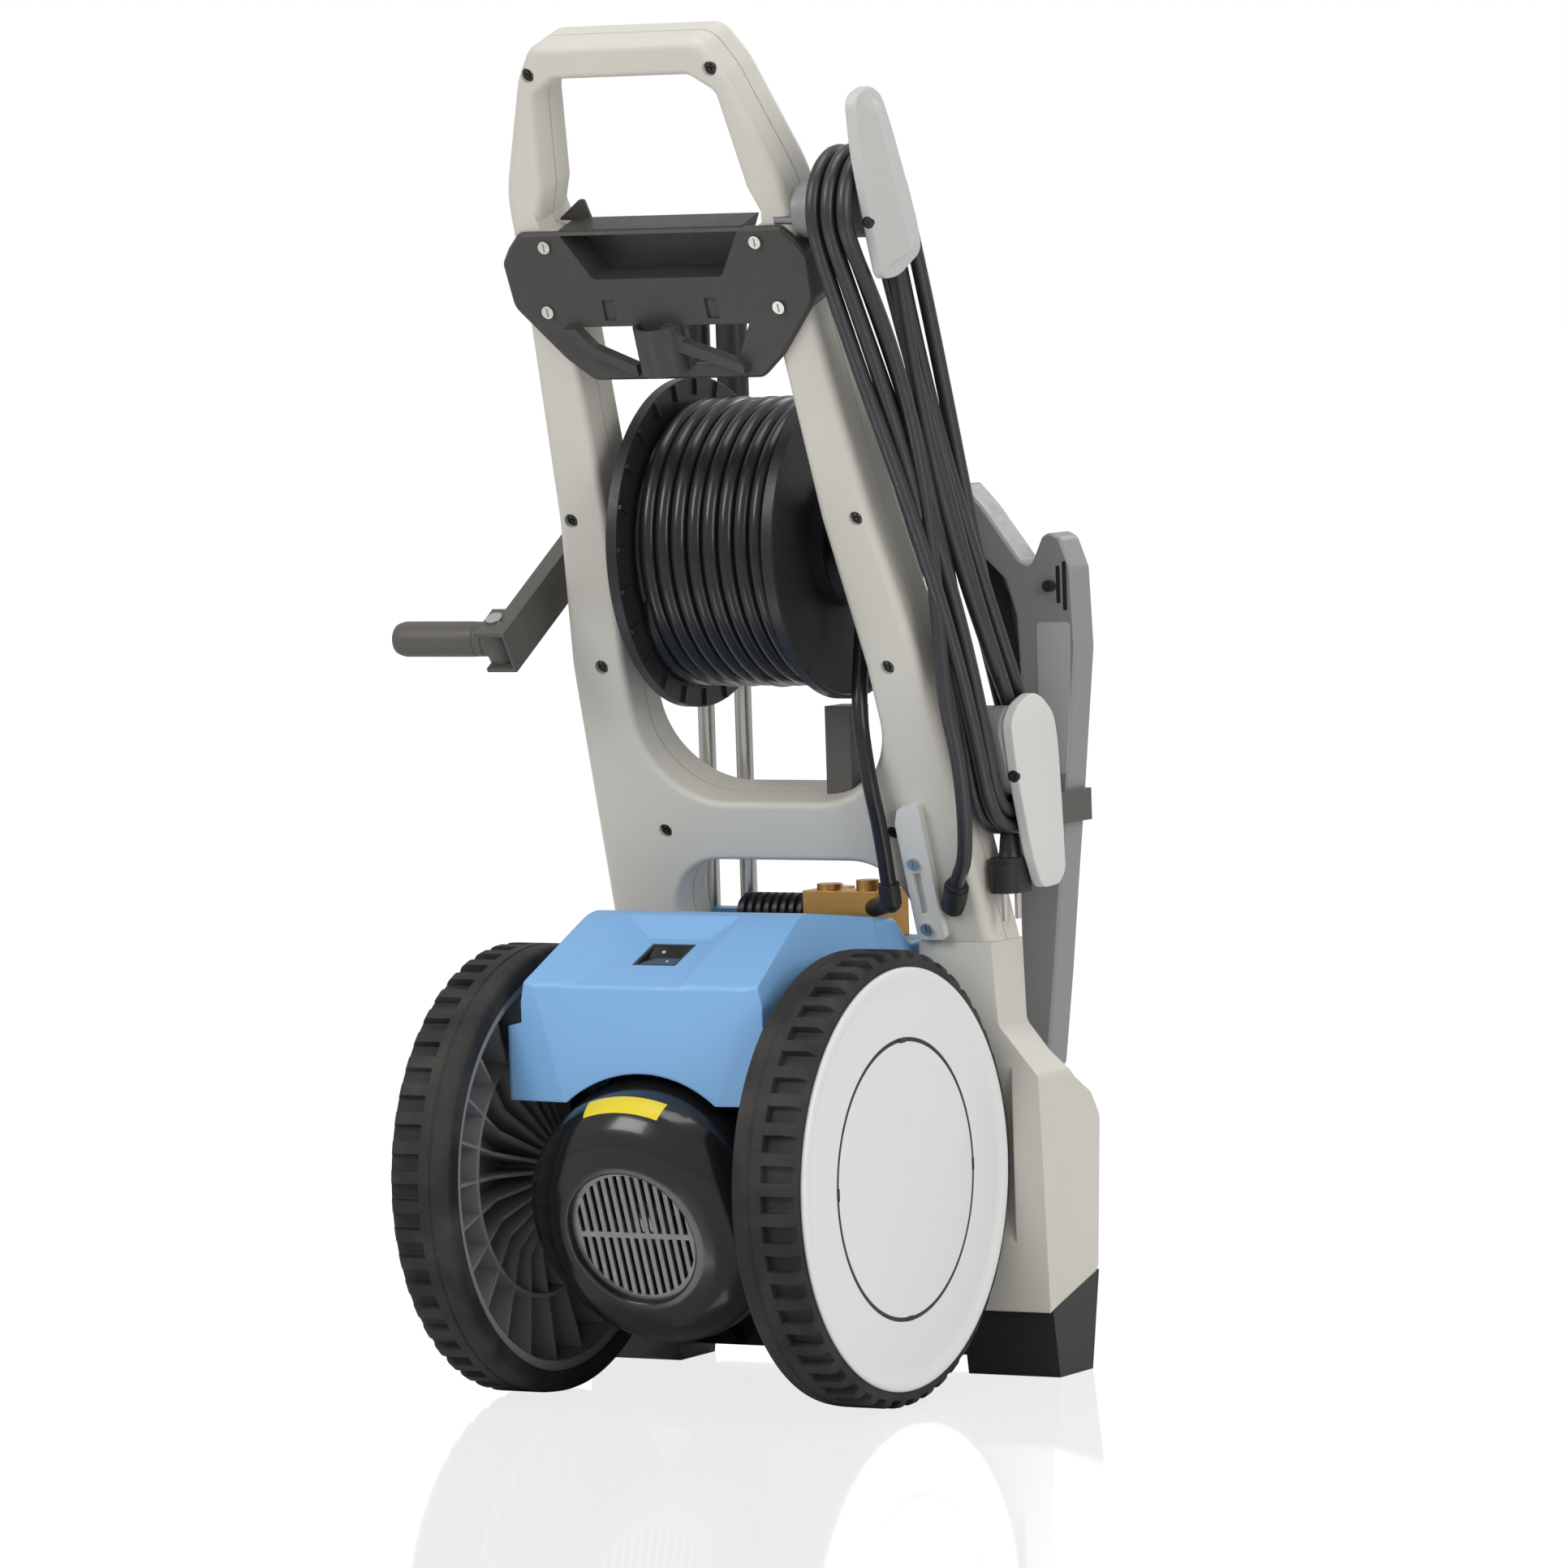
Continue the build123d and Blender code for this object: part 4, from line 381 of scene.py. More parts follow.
@dataclass(frozen=True)
class Worn(Finish):
    """Rubber with pale dust that settles in a coarse noise over the grain."""

    dust: Colour = (92, 88, 84)
    dulled: float = 0.15
    dust_scale: float = 24.0
    dust_least: float = -0.9
    dust_most: float = 1.5

    def dress(self, tree: Tree, shader: bpy.types.Node, place: Socket) -> None:
        """Links the dust's mask to colour and roughness."""
        coarse = between(tree, noise(tree, place, self.dust_scale, 6.0), self.dust_least,
                         self.dust_most)
        link(tree, blend_colour(tree, coarse, linear(self.colour), linear(self.dust)),
             shader.inputs["Base Color"])
        link(tree, between(tree, coarse, self.roughness, self.roughness + self.dulled),
             shader.inputs["Roughness"])
        self.raise_grain(tree, shader, noise(tree, place, self.grain, 4.0))


@dataclass(frozen=True)
class Braided(Finish):
    """Hose cover: shallow crossed lines of the textile under the rubber."""

    pitch: float = 260.0
    lean: float = 0.7

    def dress(self, tree: Tree, shader: bpy.types.Node, place: Socket) -> None:
        """Adds two crossed waves to the relief."""
        slow = noise(tree, place, 30.0, 3.0)
        self.paint(tree, shader, slow, 1.0, 1 + 3 * self.mottle)
        self.roughen(tree, shader, slow)
        total = noise(tree, place, self.grain, 2.0)
        for lean in (self.lean, -self.lean):
            mapping = tree.nodes.new("ShaderNodeMapping")
            mapping.inputs["Rotation"].default_value = (lean, lean, lean)
            wave = tree.nodes.new("ShaderNodeTexWave")
            wave.inputs["Scale"].default_value = self.pitch
            wave.inputs["Distortion"].default_value = 0.6
            link(tree, place, mapping.inputs["Vector"])
            link(tree, mapping.outputs["Vector"], wave.inputs["Vector"])
            total = reckoned(tree, "ADD", total, wave.outputs["Fac"])
        self.raise_grain(tree, shader, total)


def link(tree: Tree, source: Socket, target: Socket) -> None:
    """Joins two sockets."""
    tree.links.new(source, target)


def supply(tree: Tree, value: Socket | float, target: Socket) -> None:
    """Sets a socket to a number or joins it to another socket."""
    if isinstance(value, float):
        target.default_value = value
    else:
        link(tree, value, target)


def reckoned(tree: Tree, operation: str, first: Socket, second: Socket | float) -> Socket:
    """Result of one operation on two values."""
    node = tree.nodes.new("ShaderNodeMath")
    node.operation = operation
    link(tree, first, node.inputs[0])
    supply(tree, second, node.inputs[1])
    return node.outputs["Value"]


def mixed(tree: Tree, factor: Socket | float, low: Socket, high: Socket) -> Socket:
    """Shader between two, by a factor."""
    node = tree.nodes.new("ShaderNodeMixShader")
    supply(tree, factor, node.inputs["Fac"])
    link(tree, low, node.inputs[1])
    link(tree, high, node.inputs[2])
    return node.outputs["Shader"]


def glowing(tree: Tree, kind: str, colour: tuple[float, ...], strength: float) -> Socket:
    """Light of one background or emission node."""
    node = tree.nodes.new(kind)
    node.inputs["Color"].default_value = colour
    node.inputs["Strength"].default_value = strength
    return node.outputs[0]


def noise(tree: Tree, place: Socket, scale: float, detail: float) -> Socket:
    """Noise factor at a scale in repeats for each metre."""
    node = tree.nodes.new("ShaderNodeTexNoise")
    node.inputs["Scale"].default_value = scale
    node.inputs["Detail"].default_value = detail
    link(tree, place, node.inputs["Vector"])
    return node.outputs["Fac"]


def between(tree: Tree, value: Socket, low: float, high: float) -> Socket:
    """Factor mapped from 0.2 to 0.8 onto low to high."""
    node = tree.nodes.new("ShaderNodeMapRange")
    for name, limit in (("From Min", 0.2), ("From Max", 0.8), ("To Min", low), ("To Max", high)):
        node.inputs[name].default_value = limit
    link(tree, value, node.inputs["Value"])
    return node.outputs["Result"]


def blend_colour(tree: Tree, factor: Socket, low: tuple, high: tuple) -> Socket:
    """Colour between two, by a factor."""
    node = tree.nodes.new("ShaderNodeMix")
    node.data_type = "RGBA"
    link(tree, factor, node.inputs["Factor"])
    colours = [socket for socket in node.inputs if socket.type == "RGBA"]
    colours[0].default_value = low
    colours[1].default_value = high
    return next(socket for socket in node.outputs if socket.type == "RGBA")


SHELL = Finish("shell grey moulding", (202, 198, 188), roughness=0.52, corner=1.4)
SHELL_PALE = Finish("pale grey moulding", (208, 207, 203), roughness=0.48, corner=1.2)
HOOK_GREY = Finish("hook grey moulding", (188, 188, 184), roughness=0.45, corner=1.0)
PLATE = Finish("dark satin plate", (66, 64, 61), roughness=0.42, specular=0.3, corner=0.8)
CRANK_GREY = Finish("crank grey moulding", (86, 83, 79), roughness=0.42, specular=0.3, corner=0.8)
GUN_GREY = Finish("gun grey moulding", (134, 136, 135), roughness=0.46, corner=0.9)
GUN_LABEL = Finish("bare label field", (172, 173, 172), roughness=0.38, relief=0.03, corner=0.3)
BLACK = Finish("black moulding", (40, 40, 40), roughness=0.40, specular=0.3, corner=0.7)
BLACK_DEEP = Finish("black satin disc", (38, 36, 39), roughness=0.34, specular=0.3, corner=0.7,
                    relief=0.06)
BLACK_GLOSS = Finish("black lacquer", (22, 22, 22), roughness=0.20, relief=0.015, corner=0.6,
                     coat=0.25, specular=0.35, spread=0.03)
BLUE = Finish("blue moulding", (124, 173, 220), roughness=0.46, corner=1.8, mottle=0.03)
HUBCAP_GREY = Finish("hubcap grey moulding", (220, 222, 219), roughness=0.44, corner=0.0,
                     mottle=0.02)
RUBBER = Worn("tyre rubber", (38, 37, 36), roughness=0.60, specular=0.22, grain=2200, relief=0.3,
              corner=0.0, dust=(62, 60, 57))
RIM_GREY = Finish("wheel moulding", (132, 132, 134), roughness=0.5, corner=0.6)
HOSE = Braided("hose cover", (33, 31, 34), roughness=0.24, relief=0.03, corner=0.0, coat=0.10,
               specular=0.3)
CABLE = Finish("cable sheath", (44, 41, 45), roughness=0.36, relief=0.10, corner=0.0, grain=2600)
STEEL = Brushed("bright steel", (205, 203, 198), roughness=0.22, metallic=1.0, relief=0.05,
                corner=0.2)
SCREW_DARK = Brushed("blackened screw", (70, 70, 68), roughness=0.38, metallic=0.9, corner=0.2)
NICKEL = Brushed("nickel pins", (222, 216, 206), roughness=0.2, metallic=1.0, relief=0.04,
                 corner=0.2)
ALLOY = Finish("cast alloy", (128, 130, 132), roughness=0.46, metallic=0.75, grain=700, relief=0.3,
               corner=0.8)
BRASS = Finish("forged brass", (190, 142, 78), roughness=0.33, metallic=1.0, grain=500, relief=0.3,
               corner=0.8, mottle=0.14)
GRILLE = Finish("grille wire", (112, 113, 115), roughness=0.36, metallic=0.5, corner=0.3,
                mottle=0.3, grain=900, relief=0.3)
STICKER = Finish("yellow film", (226, 203, 30), roughness=0.35, relief=0.02, corner=0.0,
                 mottle=0.03)
MARK = Finish("white print", (214, 214, 210), roughness=0.5, relief=0.02, corner=0.0)

CAD_FINISHES: dict[str, Finish] = {name: finish for finish, names in (
    (SHELL, "frame_rear_shell frame_front_shell side_cover_left side_cover_right front_cover"),
    (SHELL_PALE, "column_bracket hook_lower"),
    (HOOK_GREY, "hook_upper"),
    (PLATE, "holder_plate drum_bearings"),
    (CRANK_GREY, "drum_block crank_arm crank_knuckle crank_grip gun_holder"),
    (GUN_GREY, "hook_necks gun_body"),
    (BLACK, "base_tray cooling_fan inlet_coupling pressure_knob drum_shaft hose_sleeve cable_gland "
            "plug gun_pipe gun_trigger gun_catch lance_narrow_sleeve lance_wide_sleeve"),
    (BLACK_DEEP, "switch_housing outlet_boot drum_flange_left drum_flange_right"),
    (BLACK_GLOSS, "switch_rocker fan_cover"),
    (BLUE, "motor_bonnet pump_hood"),
    (HUBCAP_GREY, "hubcap_left hubcap_right"),
    (RUBBER, "tyre_left tyre_right"),
    (RIM_GREY, "rim_left rim_right"),
    (HOSE, "hose_coil link_hose"),
    (CABLE, "power_cable cable_coil"),
    (STEEL, "panel_screws motor_shaft fold_pin stub_axles lance_narrow lance_wide"),
    (SCREW_DARK, "frame_screws"),
    (NICKEL, "plug_pins"),
    (ALLOY, "motor_housing pump_crankcase"),
    (BRASS, "pump_head"),
    (GRILLE, "fan_grille"),
) for name in names.split()}


def dressed(piece: bpy.types.Object, finish: Finish, body: Body,
            replaces: Sequence[str] = ()) -> None:
    """Gives a new piece its finish and body, and hides the nodes that it stands for."""
    piece.data.materials.clear()
    piece.data.materials.append(finish.build())
    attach(piece, body.value)
    if replaces:
        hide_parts(*replaces)
    LOG.info("%s rides on %s", piece.name, body.value)


def paint_nodes(nodes: dict[str, bpy.types.Object]) -> None:
    """Puts each carried-over node's finish in its object's material slots."""
    for name, node in nodes.items():
        material = CAD_FINISHES[name].build()
        if not node.material_slots:
            node.data.materials.append(material)
        for place in node.material_slots:
            place.link = "OBJECT"
            place.material = material
        LOG.info("%s is finished in %s", name, material.name)


# ---------------- camera and studio
@dataclass
class Studio:
    """Camera, pale floor and soft lamps."""

    eye: Place = (-3054.8, 5229.6, 835.7)
    heading: float = 29.683
    pitch: float = 3.993
    roll: float = -1.787
    lens: float = 204.04
    air_tint: tuple[float, ...] = (0.96, 0.98, 1.0, 1.0)
    air_strength: float = 0.46
    white_in_gloss: float = 0.40
    floor_half: float = 30.0
    floor_grey: float = 0.82
    floor_glow: float = 1.56
    glow_share: float = 0.93
    mirror_share: float = 0.45
    mirror_roughness: float = 0.06

    def camera(self) -> None:
        """Camera whose axes come from heading, pitch and roll."""
        a, p, r = radians(self.heading), radians(self.pitch), radians(self.roll)
        ahead = np.array([sin(a) * cos(p), -cos(a) * cos(p), -sin(p)])
        right = np.cross(ahead, [0.0, 0.0, 1.0])
        right /= np.linalg.norm(right)
        down = np.cross(ahead, right)
        data = bpy.data.cameras.new("camera")
        data.sensor_width = 36.0
        data.lens = self.lens
        data.clip_end = 100.0
        bpy.context.scene.camera = self.placed(
            "camera", data, np.array(self.eye) / 1000, cos(r) * right - sin(r) * down,
            -(sin(r) * right + cos(r) * down), ahead)

    def placed(self, name: str, data: bpy.types.ID, place: np.ndarray, side: np.ndarray,
               up: np.ndarray, ahead: np.ndarray) -> bpy.types.Object:
        """Camera or lamp in the scene, with its own X, Y and view directions."""
        matrix = np.eye(4)
        matrix[:3, 0], matrix[:3, 1], matrix[:3, 2] = side, up, -ahead
        matrix[:3, 3] = place
        thing = in_scene(name, data)
        thing.matrix_world = Matrix(matrix.tolist())
        return thing

    def world(self) -> None:
        """Even grey light, seen as white by the eye and paler in reflections."""
        world = bpy.data.worlds.new("studio")
        bpy.context.scene.world = world
        world.use_nodes = True
        tree = world.node_tree
        tree.nodes.clear()
        ray = tree.nodes.new("ShaderNodeLightPath").outputs
        seen = reckoned(tree, "MAXIMUM", ray["Is Camera Ray"], ray["Is Transmission Ray"])
        gloss = reckoned(tree, "MULTIPLY", ray["Is Glossy Ray"], self.white_in_gloss)
        plain = glowing(tree, "ShaderNodeBackground", self.air_tint, self.air_strength)
        white = glowing(tree, "ShaderNodeBackground", WHITE, 1.0)
        out = tree.nodes.new("ShaderNodeOutputWorld")
        light = mixed(tree, reckoned(tree, "MAXIMUM", seen, gloss), plain, white)
        link(tree, light, out.inputs["Surface"])

    def floor(self) -> None:
        """Flat pale floor with a faint reflection."""
        half = self.floor_half
        mesh = bpy.data.meshes.new("floor")
        mesh.from_pydata([(-half, -half, 0), (half, -half, 0), (half, half, 0), (-half, half, 0)],
                         [], [(0, 1, 2, 3)])
        floor = in_scene("floor", mesh)
        material = bpy.data.materials.new("studio floor")
        material.use_nodes = True
        tree = material.node_tree
        tree.nodes.clear()
        ray = tree.nodes.new("ShaderNodeLightPath").outputs
        matt = tree.nodes.new("ShaderNodeBsdfDiffuse")
        matt.inputs["Color"].default_value = (*[self.floor_grey] * 3, 1.0)
        glow = glowing(tree, "ShaderNodeEmission", WHITE, self.floor_glow)
        gloss = tree.nodes.new("ShaderNodeBsdfGlossy")
        gloss.inputs["Roughness"].default_value = self.mirror_roughness
        share = reckoned(tree, "MULTIPLY", ray["Is Camera Ray"], self.glow_share)
        base = mixed(tree, share, matt.outputs["BSDF"], glow)
        out = tree.nodes.new("ShaderNodeOutputMaterial")
        whole = mixed(tree, self.mirror_share, base, gloss.outputs["BSDF"])
        link(tree, whole, out.inputs["Surface"])
        mesh.materials.append(material)

    def lamp(self, name: str, place: Place, aim_height: float, size: float, power: float) -> None:
        """Soft square lamp that shines from its place to a height over the middle."""
        data = bpy.data.lights.new(name, "AREA")
        data.shape = "SQUARE"
        data.size = size
        data.energy = power
        ahead = np.array([0.0, 0.0, aim_height]) - np.array(place, float)
        ahead /= np.linalg.norm(ahead)
        side = np.cross(ahead, [0.0, 0.0, 1.0])
        side /= np.linalg.norm(side)
        self.placed(name, data, np.array(place), side, np.cross(side, ahead), ahead)

    def build(self) -> None:
        """Camera, world, floor and lamps."""
        self.camera()
        self.world()
        self.floor()
        self.lamp("key", (1.4, 3.0, 2.6), 0.45, 1.6, 62.0)
        self.lamp("side", (-3.2, 1.2, 1.6), 0.4, 1.8, 44.0)
        self.lamp("top", (-0.2, 0.1, 3.4), 0.0, 1.6, 30.0)
        self.lamp("rim", (-0.6, -3.2, 2.2), 0.5, 1.4, 26.0)
        bpy.context.scene.view_settings.view_transform = "Standard"
        LOG.info("studio ready")


# ---------------- cables and hoses
def spline_piece(name: str, points: np.ndarray, radius: float,
                 sides: int = 5) -> bpy.types.Object:
    """Open NURBS curve through control points, with a round section, all in millimetres."""
    data = bpy.data.curves.new(name, "CURVE")
    data.dimensions = "3D"
    data.resolution_u = 8
    data.bevel_depth = radius / 1000
    data.bevel_resolution = sides
    data.use_fill_caps = True
    spline = data.splines.new("NURBS")
    spline.points.add(len(points) - 1)
    whole = np.column_stack([to_row(points), np.ones(len(points))])
    spline.points.foreach_set("co", whole.astype(np.float32).ravel())
    spline.order_u = 3
    spline.use_endpoint_u = True
    return in_scene(name, data)


@dataclass
class MainsCable:
    """Mains cable from its gland, wound over both hook necks, down to the plug."""

    diameter: float = 10.5
    length: float = 5.35
    gland: Place = (-128.0, -133.98, 330.0)
    gland_axis: Place = (-0.451, 0.6214, 0.6414)
    gland_reach: float = 13.0
    rise: tuple[Place, ...] = (
        (-148, -113, 358), (-154, -104, 382), (-157, -96, 409), (-158, -88, 436), (-156, -78, 466))
    top: Pair = (17.0, 803.0)
    low: Pair = (-152.0, 416.0)
    top_radius: float = 45.5
    low_radius: float = 42.0
    tops: Outline = (
        (-164.5, 0.0), (-152.5, 0.0), (-140.5, 1.0), (-158.5, 10.5), (-146.5, 10.5))
    lows: Outline = (
        (-154.2, 0.0), (-165.2, 0.0), (-154.2, 11.0), (-165.2, 11.0))
    rear_bow: tuple[float, ...] = (-33.0, -23.0, -13.0, -28.0, -18.0)
    front_bow: tuple[float, ...] = (-2.0, -15.0, 1.0, -27.0, -30.0)
    plug_top: Place = (-160.2, -156.0, 371.0)

    @property
    def start(self) -> np.ndarray:
        """Place where the cable leaves its gland."""
        return np.array(self.gland) + np.array(self.gland_axis) * self.gland_reach

    def round_bend(self, centre: Pair, radius: float, first: float, last: float,
                   slot: Pair, count: int) -> np.ndarray:
        """Control points of one bend: centre plus the strand's radius at even angles.

        The radius is grown by 1/cos(half a step), so that the spline runs at the strand's own.

        Args:
            centre: Middle of the bend in (Y, Z).
            radius: Outer radius of the whole winding.
            first: First angle.
            last: Last angle.
            slot: X of the strand and its depth below the outer layer.
            count: Control points.

        Returns:
            Points of the bend.
        """
        x, depth = slot
        angle = np.linspace(first, last, count)
        grown = (radius - self.diameter / 2 - depth) / cos((last - first) / (count - 1) / 2)
        return np.column_stack([np.full(count, x), centre[0] + grown * np.cos(angle),
                                centre[1] + grown * np.sin(angle)])

    def run(self, start: np.ndarray, end: np.ndarray, along: np.ndarray, outwards: np.ndarray,
            bow: float) -> np.ndarray:
        """Control points of one long run that bows outwards at its middle, or inwards below 0.

        The bow is b sin(pi t). What the strand moves across the winding's length, it moves by a
        smooth step over t.
        """
        share = np.linspace(0.09, 0.91, 7)
        moved = smooth_step(share, 0.05, 0.95)
        points = start + (end - start) * share[:, None]
        across = (end - start) - np.dot(end - start, along) * along
        points += across * (moved - share)[:, None]
        return points + outwards * (bow * np.sin(pi * share))[:, None]

    def tail(self, start: np.ndarray) -> np.ndarray:
        """Control points of the last run, down the front and over to the plug's top."""
        x, y, z = self.plug_top
        return np.array([
            start + (-1.0, -16.0, -48.0), (-163.0, -62.0, 640.0), (-165.0, -104.0, 545.0),
            (-166.0, -146.0, 470.0), (-166.0, -168.0, 432.0), (-165.5, -174.0, 408.0),
            (x - 2.0, -165.0, 390.0), (x, y - 1, 381.0), (x, y, z)])

    def points(self) -> np.ndarray:
        """Control points from the gland to the plug."""
        top, low = np.array([0.0, *self.top]), np.array([0.0, *self.low])
        along = (top - low) / np.linalg.norm(top - low)
        rear = np.array([0.0, along[2], -along[1]])
        angle = np.arctan2(rear[2], rear[1])
        slant = np.arcsin((self.top_radius - self.low_radius) / np.linalg.norm(top - low))
        rear_angle, front_angle = angle - slant, angle + pi + slant
        line = [self.start[None], (self.start + np.array(self.gland_axis) * 12)[None],
                np.array(self.rise, float)]
        before = line[-1][-1]
        for strand, slot in enumerate(self.tops):
            over = self.round_bend(self.top, self.top_radius, rear_angle, front_angle, slot, 8)
            line.append(self.run(before, over[0], along, rear, self.rear_bow[strand]))
            line.append(over)
            if strand == len(self.lows):
                line.append(self.tail(over[-1]))
                break
            under = self.round_bend(self.low, self.low_radius, front_angle, rear_angle + 2 * pi,
                                    self.lows[strand], 6)
            line.append(self.run(over[-1], under[0], along, -rear, self.front_bow[strand]))
            line.append(under)
            before = under[-1]
        return np.vstack(line)

    def build(self) -> None:
        piece = spline_piece("mains_cable", self.points(), self.diameter / 2)
        dressed(piece, CABLE, Body.CHASSIS, ("power_cable", "cable_coil"))


@dataclass
class HoseDrum:
    """High-pressure hose wound on its drum, and the short hose that feeds it."""

    centre: Pair = (-118.0, 577.0)
    radius: float = 94.0
    hose: float = 12.0
    pitch: float = 12.2
    turns: int = 9
    points_each: int = 16
    first_angle: float = 1.9
    waver: float = 0.5
    end_dip: Pair = (8.0, 26.0)
    core_radius: float = 84.5
    core_rib: float = 4.5
    link: tuple[Place, ...] = (
        (-75.5, -116, 547), (-77, -105, 505), (-84, -86, 462), (-87, -92, 415), (-87, -108, 375),
        (-86, -117, 342))

    def winding(self) -> None:
        """Helix x = pitch * a / 2 pi with a radius that wavers, whose end dips to the core."""
        count = self.turns * self.points_each - 4
        turn = np.arange(count) / self.points_each
        angle = 2 * pi * turn + self.first_angle
        grown = self.radius / cos(pi / self.points_each) + self.waver * np.sin(turn * 2.3) - 0.2
        x = (turn - turn.mean()) * self.pitch
        grown[-2:] -= self.end_dip
        points = np.column_stack([x, self.centre[0] + grown * np.cos(angle),
                                  self.centre[1] + grown * np.sin(angle)])
        piece = spline_piece("wound_hose", points, self.hose / 2 - 0.05, 6)
        dressed(piece, HOSE, Body.DRUM, ("hose_coil",))

    def core(self) -> None:
        """Lower layer of the winding, seen between the turns: ribs of the same pitch."""
        reach = self.turns * self.pitch / 2
        h = np.linspace(-reach, reach, 181)
        r = self.core_radius + self.core_rib * np.abs(np.sin(pi * h / self.pitch))
        profile = np.column_stack([r, h])
        axis = Axis((0, *self.centre), (0, 1, 0), (0, 0, 1), (1, 0, 0))
        piece = skin("wound_hose_core", [Patch(lathe(profile, axis, 96), round_u=True)], 60)
        dressed(piece, HOSE, Body.DRUM)

    def feed(self) -> None:
        """Short hose from the pump's elbow to the drum's swivel."""
        piece = spline_piece("feed_hose", np.array(self.link, float), 5.5)
        dressed(piece, HOSE, Body.CHASSIS, ("link_hose",))

    def build(self) -> None:
        """Makes winding, core and feed."""
        self.winding()
        self.core()
        self.feed()


# ---------------- wheels
@dataclass
class Wheel:
    """Notched tyre and dished hubcap of one wheel."""

    body: Body
    axis: Axis
    side: str
    radius: float = 154.0
    inner_x: float = 109.0
    width: float = 47.5
    wall: float = 15.0
    notches: int = 48
    notch_long: float = 24.0
    notch_wide: float = 11.0
    notch_deep: float = 5.5
    seam: float = 14.0
    seam_deep: float = 0.9
    tread_points: int = 122
    cap: float = 142.5
    cap_thick: float = 3.4
    groove: float = 94.0

    @property
    def face(self) -> float:
        """Height of the hubcap's outer ring along the axle."""
        return self.inner_x + self.width + self.cap_thick

    def tyre(self) -> None:
        """Band whose radius drops by the notch depth inside each notch.

        Around the wheel, N(a) is 1 within half a notch's width of each pitch and falls off
        in under a millimetre; across it, S(x) is 1 from the notch's end to the outer shoulder. The
        radius is the smaller of the section's own and R - depth N S, less a shallow round seam.
        """
        outer_x, bore = self.inner_x + self.width, self.radius - self.wall
        section = softened([
            (bore, self.inner_x), (self.radius - 1.5, self.inner_x),
            (self.radius, self.inner_x + 9), (self.radius, outer_x - 4),
            (self.radius - 5, outer_x), (bore, outer_x)], [0.5, 5, 6, 4, 3, 0.5])
        r, x = evened(section, self.tread_points).T
        pitch = 2 * pi * self.radius / self.notches
        edge = self.notch_wide / 2
        away = [0.8, 2.8, edge - 0.7, edge - 0.3, edge, edge + 0.3, edge + 1.2, 8.2]
        half = np.array(away) / pitch
        phase = np.tile(np.concatenate([-half[::-1], half]), self.notches)
        angle = (phase + np.repeat(np.arange(self.notches), 2 * len(half))) * 2 * pi / self.notches
        across = 1 - smooth_step(np.abs(phase) * pitch, edge - 0.4, edge + 0.3)
        along = smooth_step(x, outer_x - self.notch_long - 0.3, outer_x - self.notch_long + 0.6)
        floor = self.radius - self.notch_deep * across[:, None] * along[None, :]
        shallow = 1 - smooth_step(np.abs(x - self.inner_x - self.seam), 0.6, 1.6)
        floor = floor - self.seam_deep * shallow[None, :]
        grid = turned(np.minimum(r[None, :], floor), x[None, :], angle, self.axis)
        piece = skin(f"tyre_skin_{self.side}", [Patch(grid, True, True)], 40)
        dressed(piece, RUBBER, self.body, (f"tyre_{self.side}",))

    def hubcap(self) -> None:
        """Cap turned from its section, with a raised outer ring, a round groove and four notches.

        The notches lower the groove's floor where the angle is close to a quarter turn.
        """
        face, groove, cap = self.face, self.groove, self.cap
        section = softened([
            (0.0, face - 9.9), (65.0, face - 9.9), (65.0, face - 3.4), (cap - 0.5, face - 3.4),
            (cap, face - 3.0), (cap, face - 1.6), (cap - 1.7, face), (cap - 4.9, face),
            (cap - 11.5, face - 2.6), (groove + 1.5, face - 2.0), (groove + 1.3, face - 3.3),
            (groove - 1.3, face - 3.3), (groove - 1.5, face - 1.9), (40.0, face - 1.6),
            (0.0, face - 1.5)],
            [0, 0.3, 0.3, 0.2, 0.2, 0.8, 1.2, 2.0, 3.0, 0.2, 0.2, 0.2, 0.2, 20, 0],
            closed=False, steps=6)
        r, h = section[:, 0][None, :], section[:, 1][None, :]
        angle = np.linspace(0, 2 * pi, 480, endpoint=False)
        quarter = (angle / (pi / 2) + 0.5) % 1.0 - 0.5
        near = np.abs(quarter) * (pi / 2) * groove < 2.6
        height = h - 0.8 * (near[:, None] & (np.abs(r - groove) < 1.3))
        grid = turned(r, height, angle, self.axis)
        piece = skin(f"hubcap_skin_{self.side}", [Patch(grid, True)], 30)
        dressed(piece, HUBCAP_GREY, self.body, (f"hubcap_{self.side}",))
        self.clips()

    def clips(self) -> None:
        """Small dark clip windows at the quarter turns, and a black ring in the groove's floor that
        is painted shade of the narrow groove.
        """
        face, groove = self.face, self.groove
        patches = []
        outline = softened([(-4.5, -1.6), (4.5, -1.6), (4.5, 1.6), (-4.5, 1.6)], [1.2] * 4)
        flat = outline[:, ::-1] + np.array([groove - 0.4, 0.0])
        for turn in np.arange(4) * pi / 2:
            spin = np.array([[cos(turn), sin(turn)], [-sin(turn), cos(turn)]])
            levels = ((face - 3.0, 0.0), (face - 1.75, 0.0), (face - 1.65, 0.4))
            patches.append(slab(flat @ spin, levels, self.axis))
        # Black ring in the groove: painted shade that makes the shallow groove read dark.
        ring = np.array([(groove + 1.28, face - 3.3), (groove + 1.28, face - 2.3),
                         (groove - 1.28, face - 2.3), (groove - 1.28, face - 3.3)])
        patches.append(Patch(lathe(ring, self.axis, 240), True))
        dressed(skin(f"hubcap_clips_and_groove_shade_{self.side}", patches, 30), BLACK, self.body)

    def build(self) -> None:
        """Makes tyre and hubcap."""
        self.tyre()
        self.hubcap()


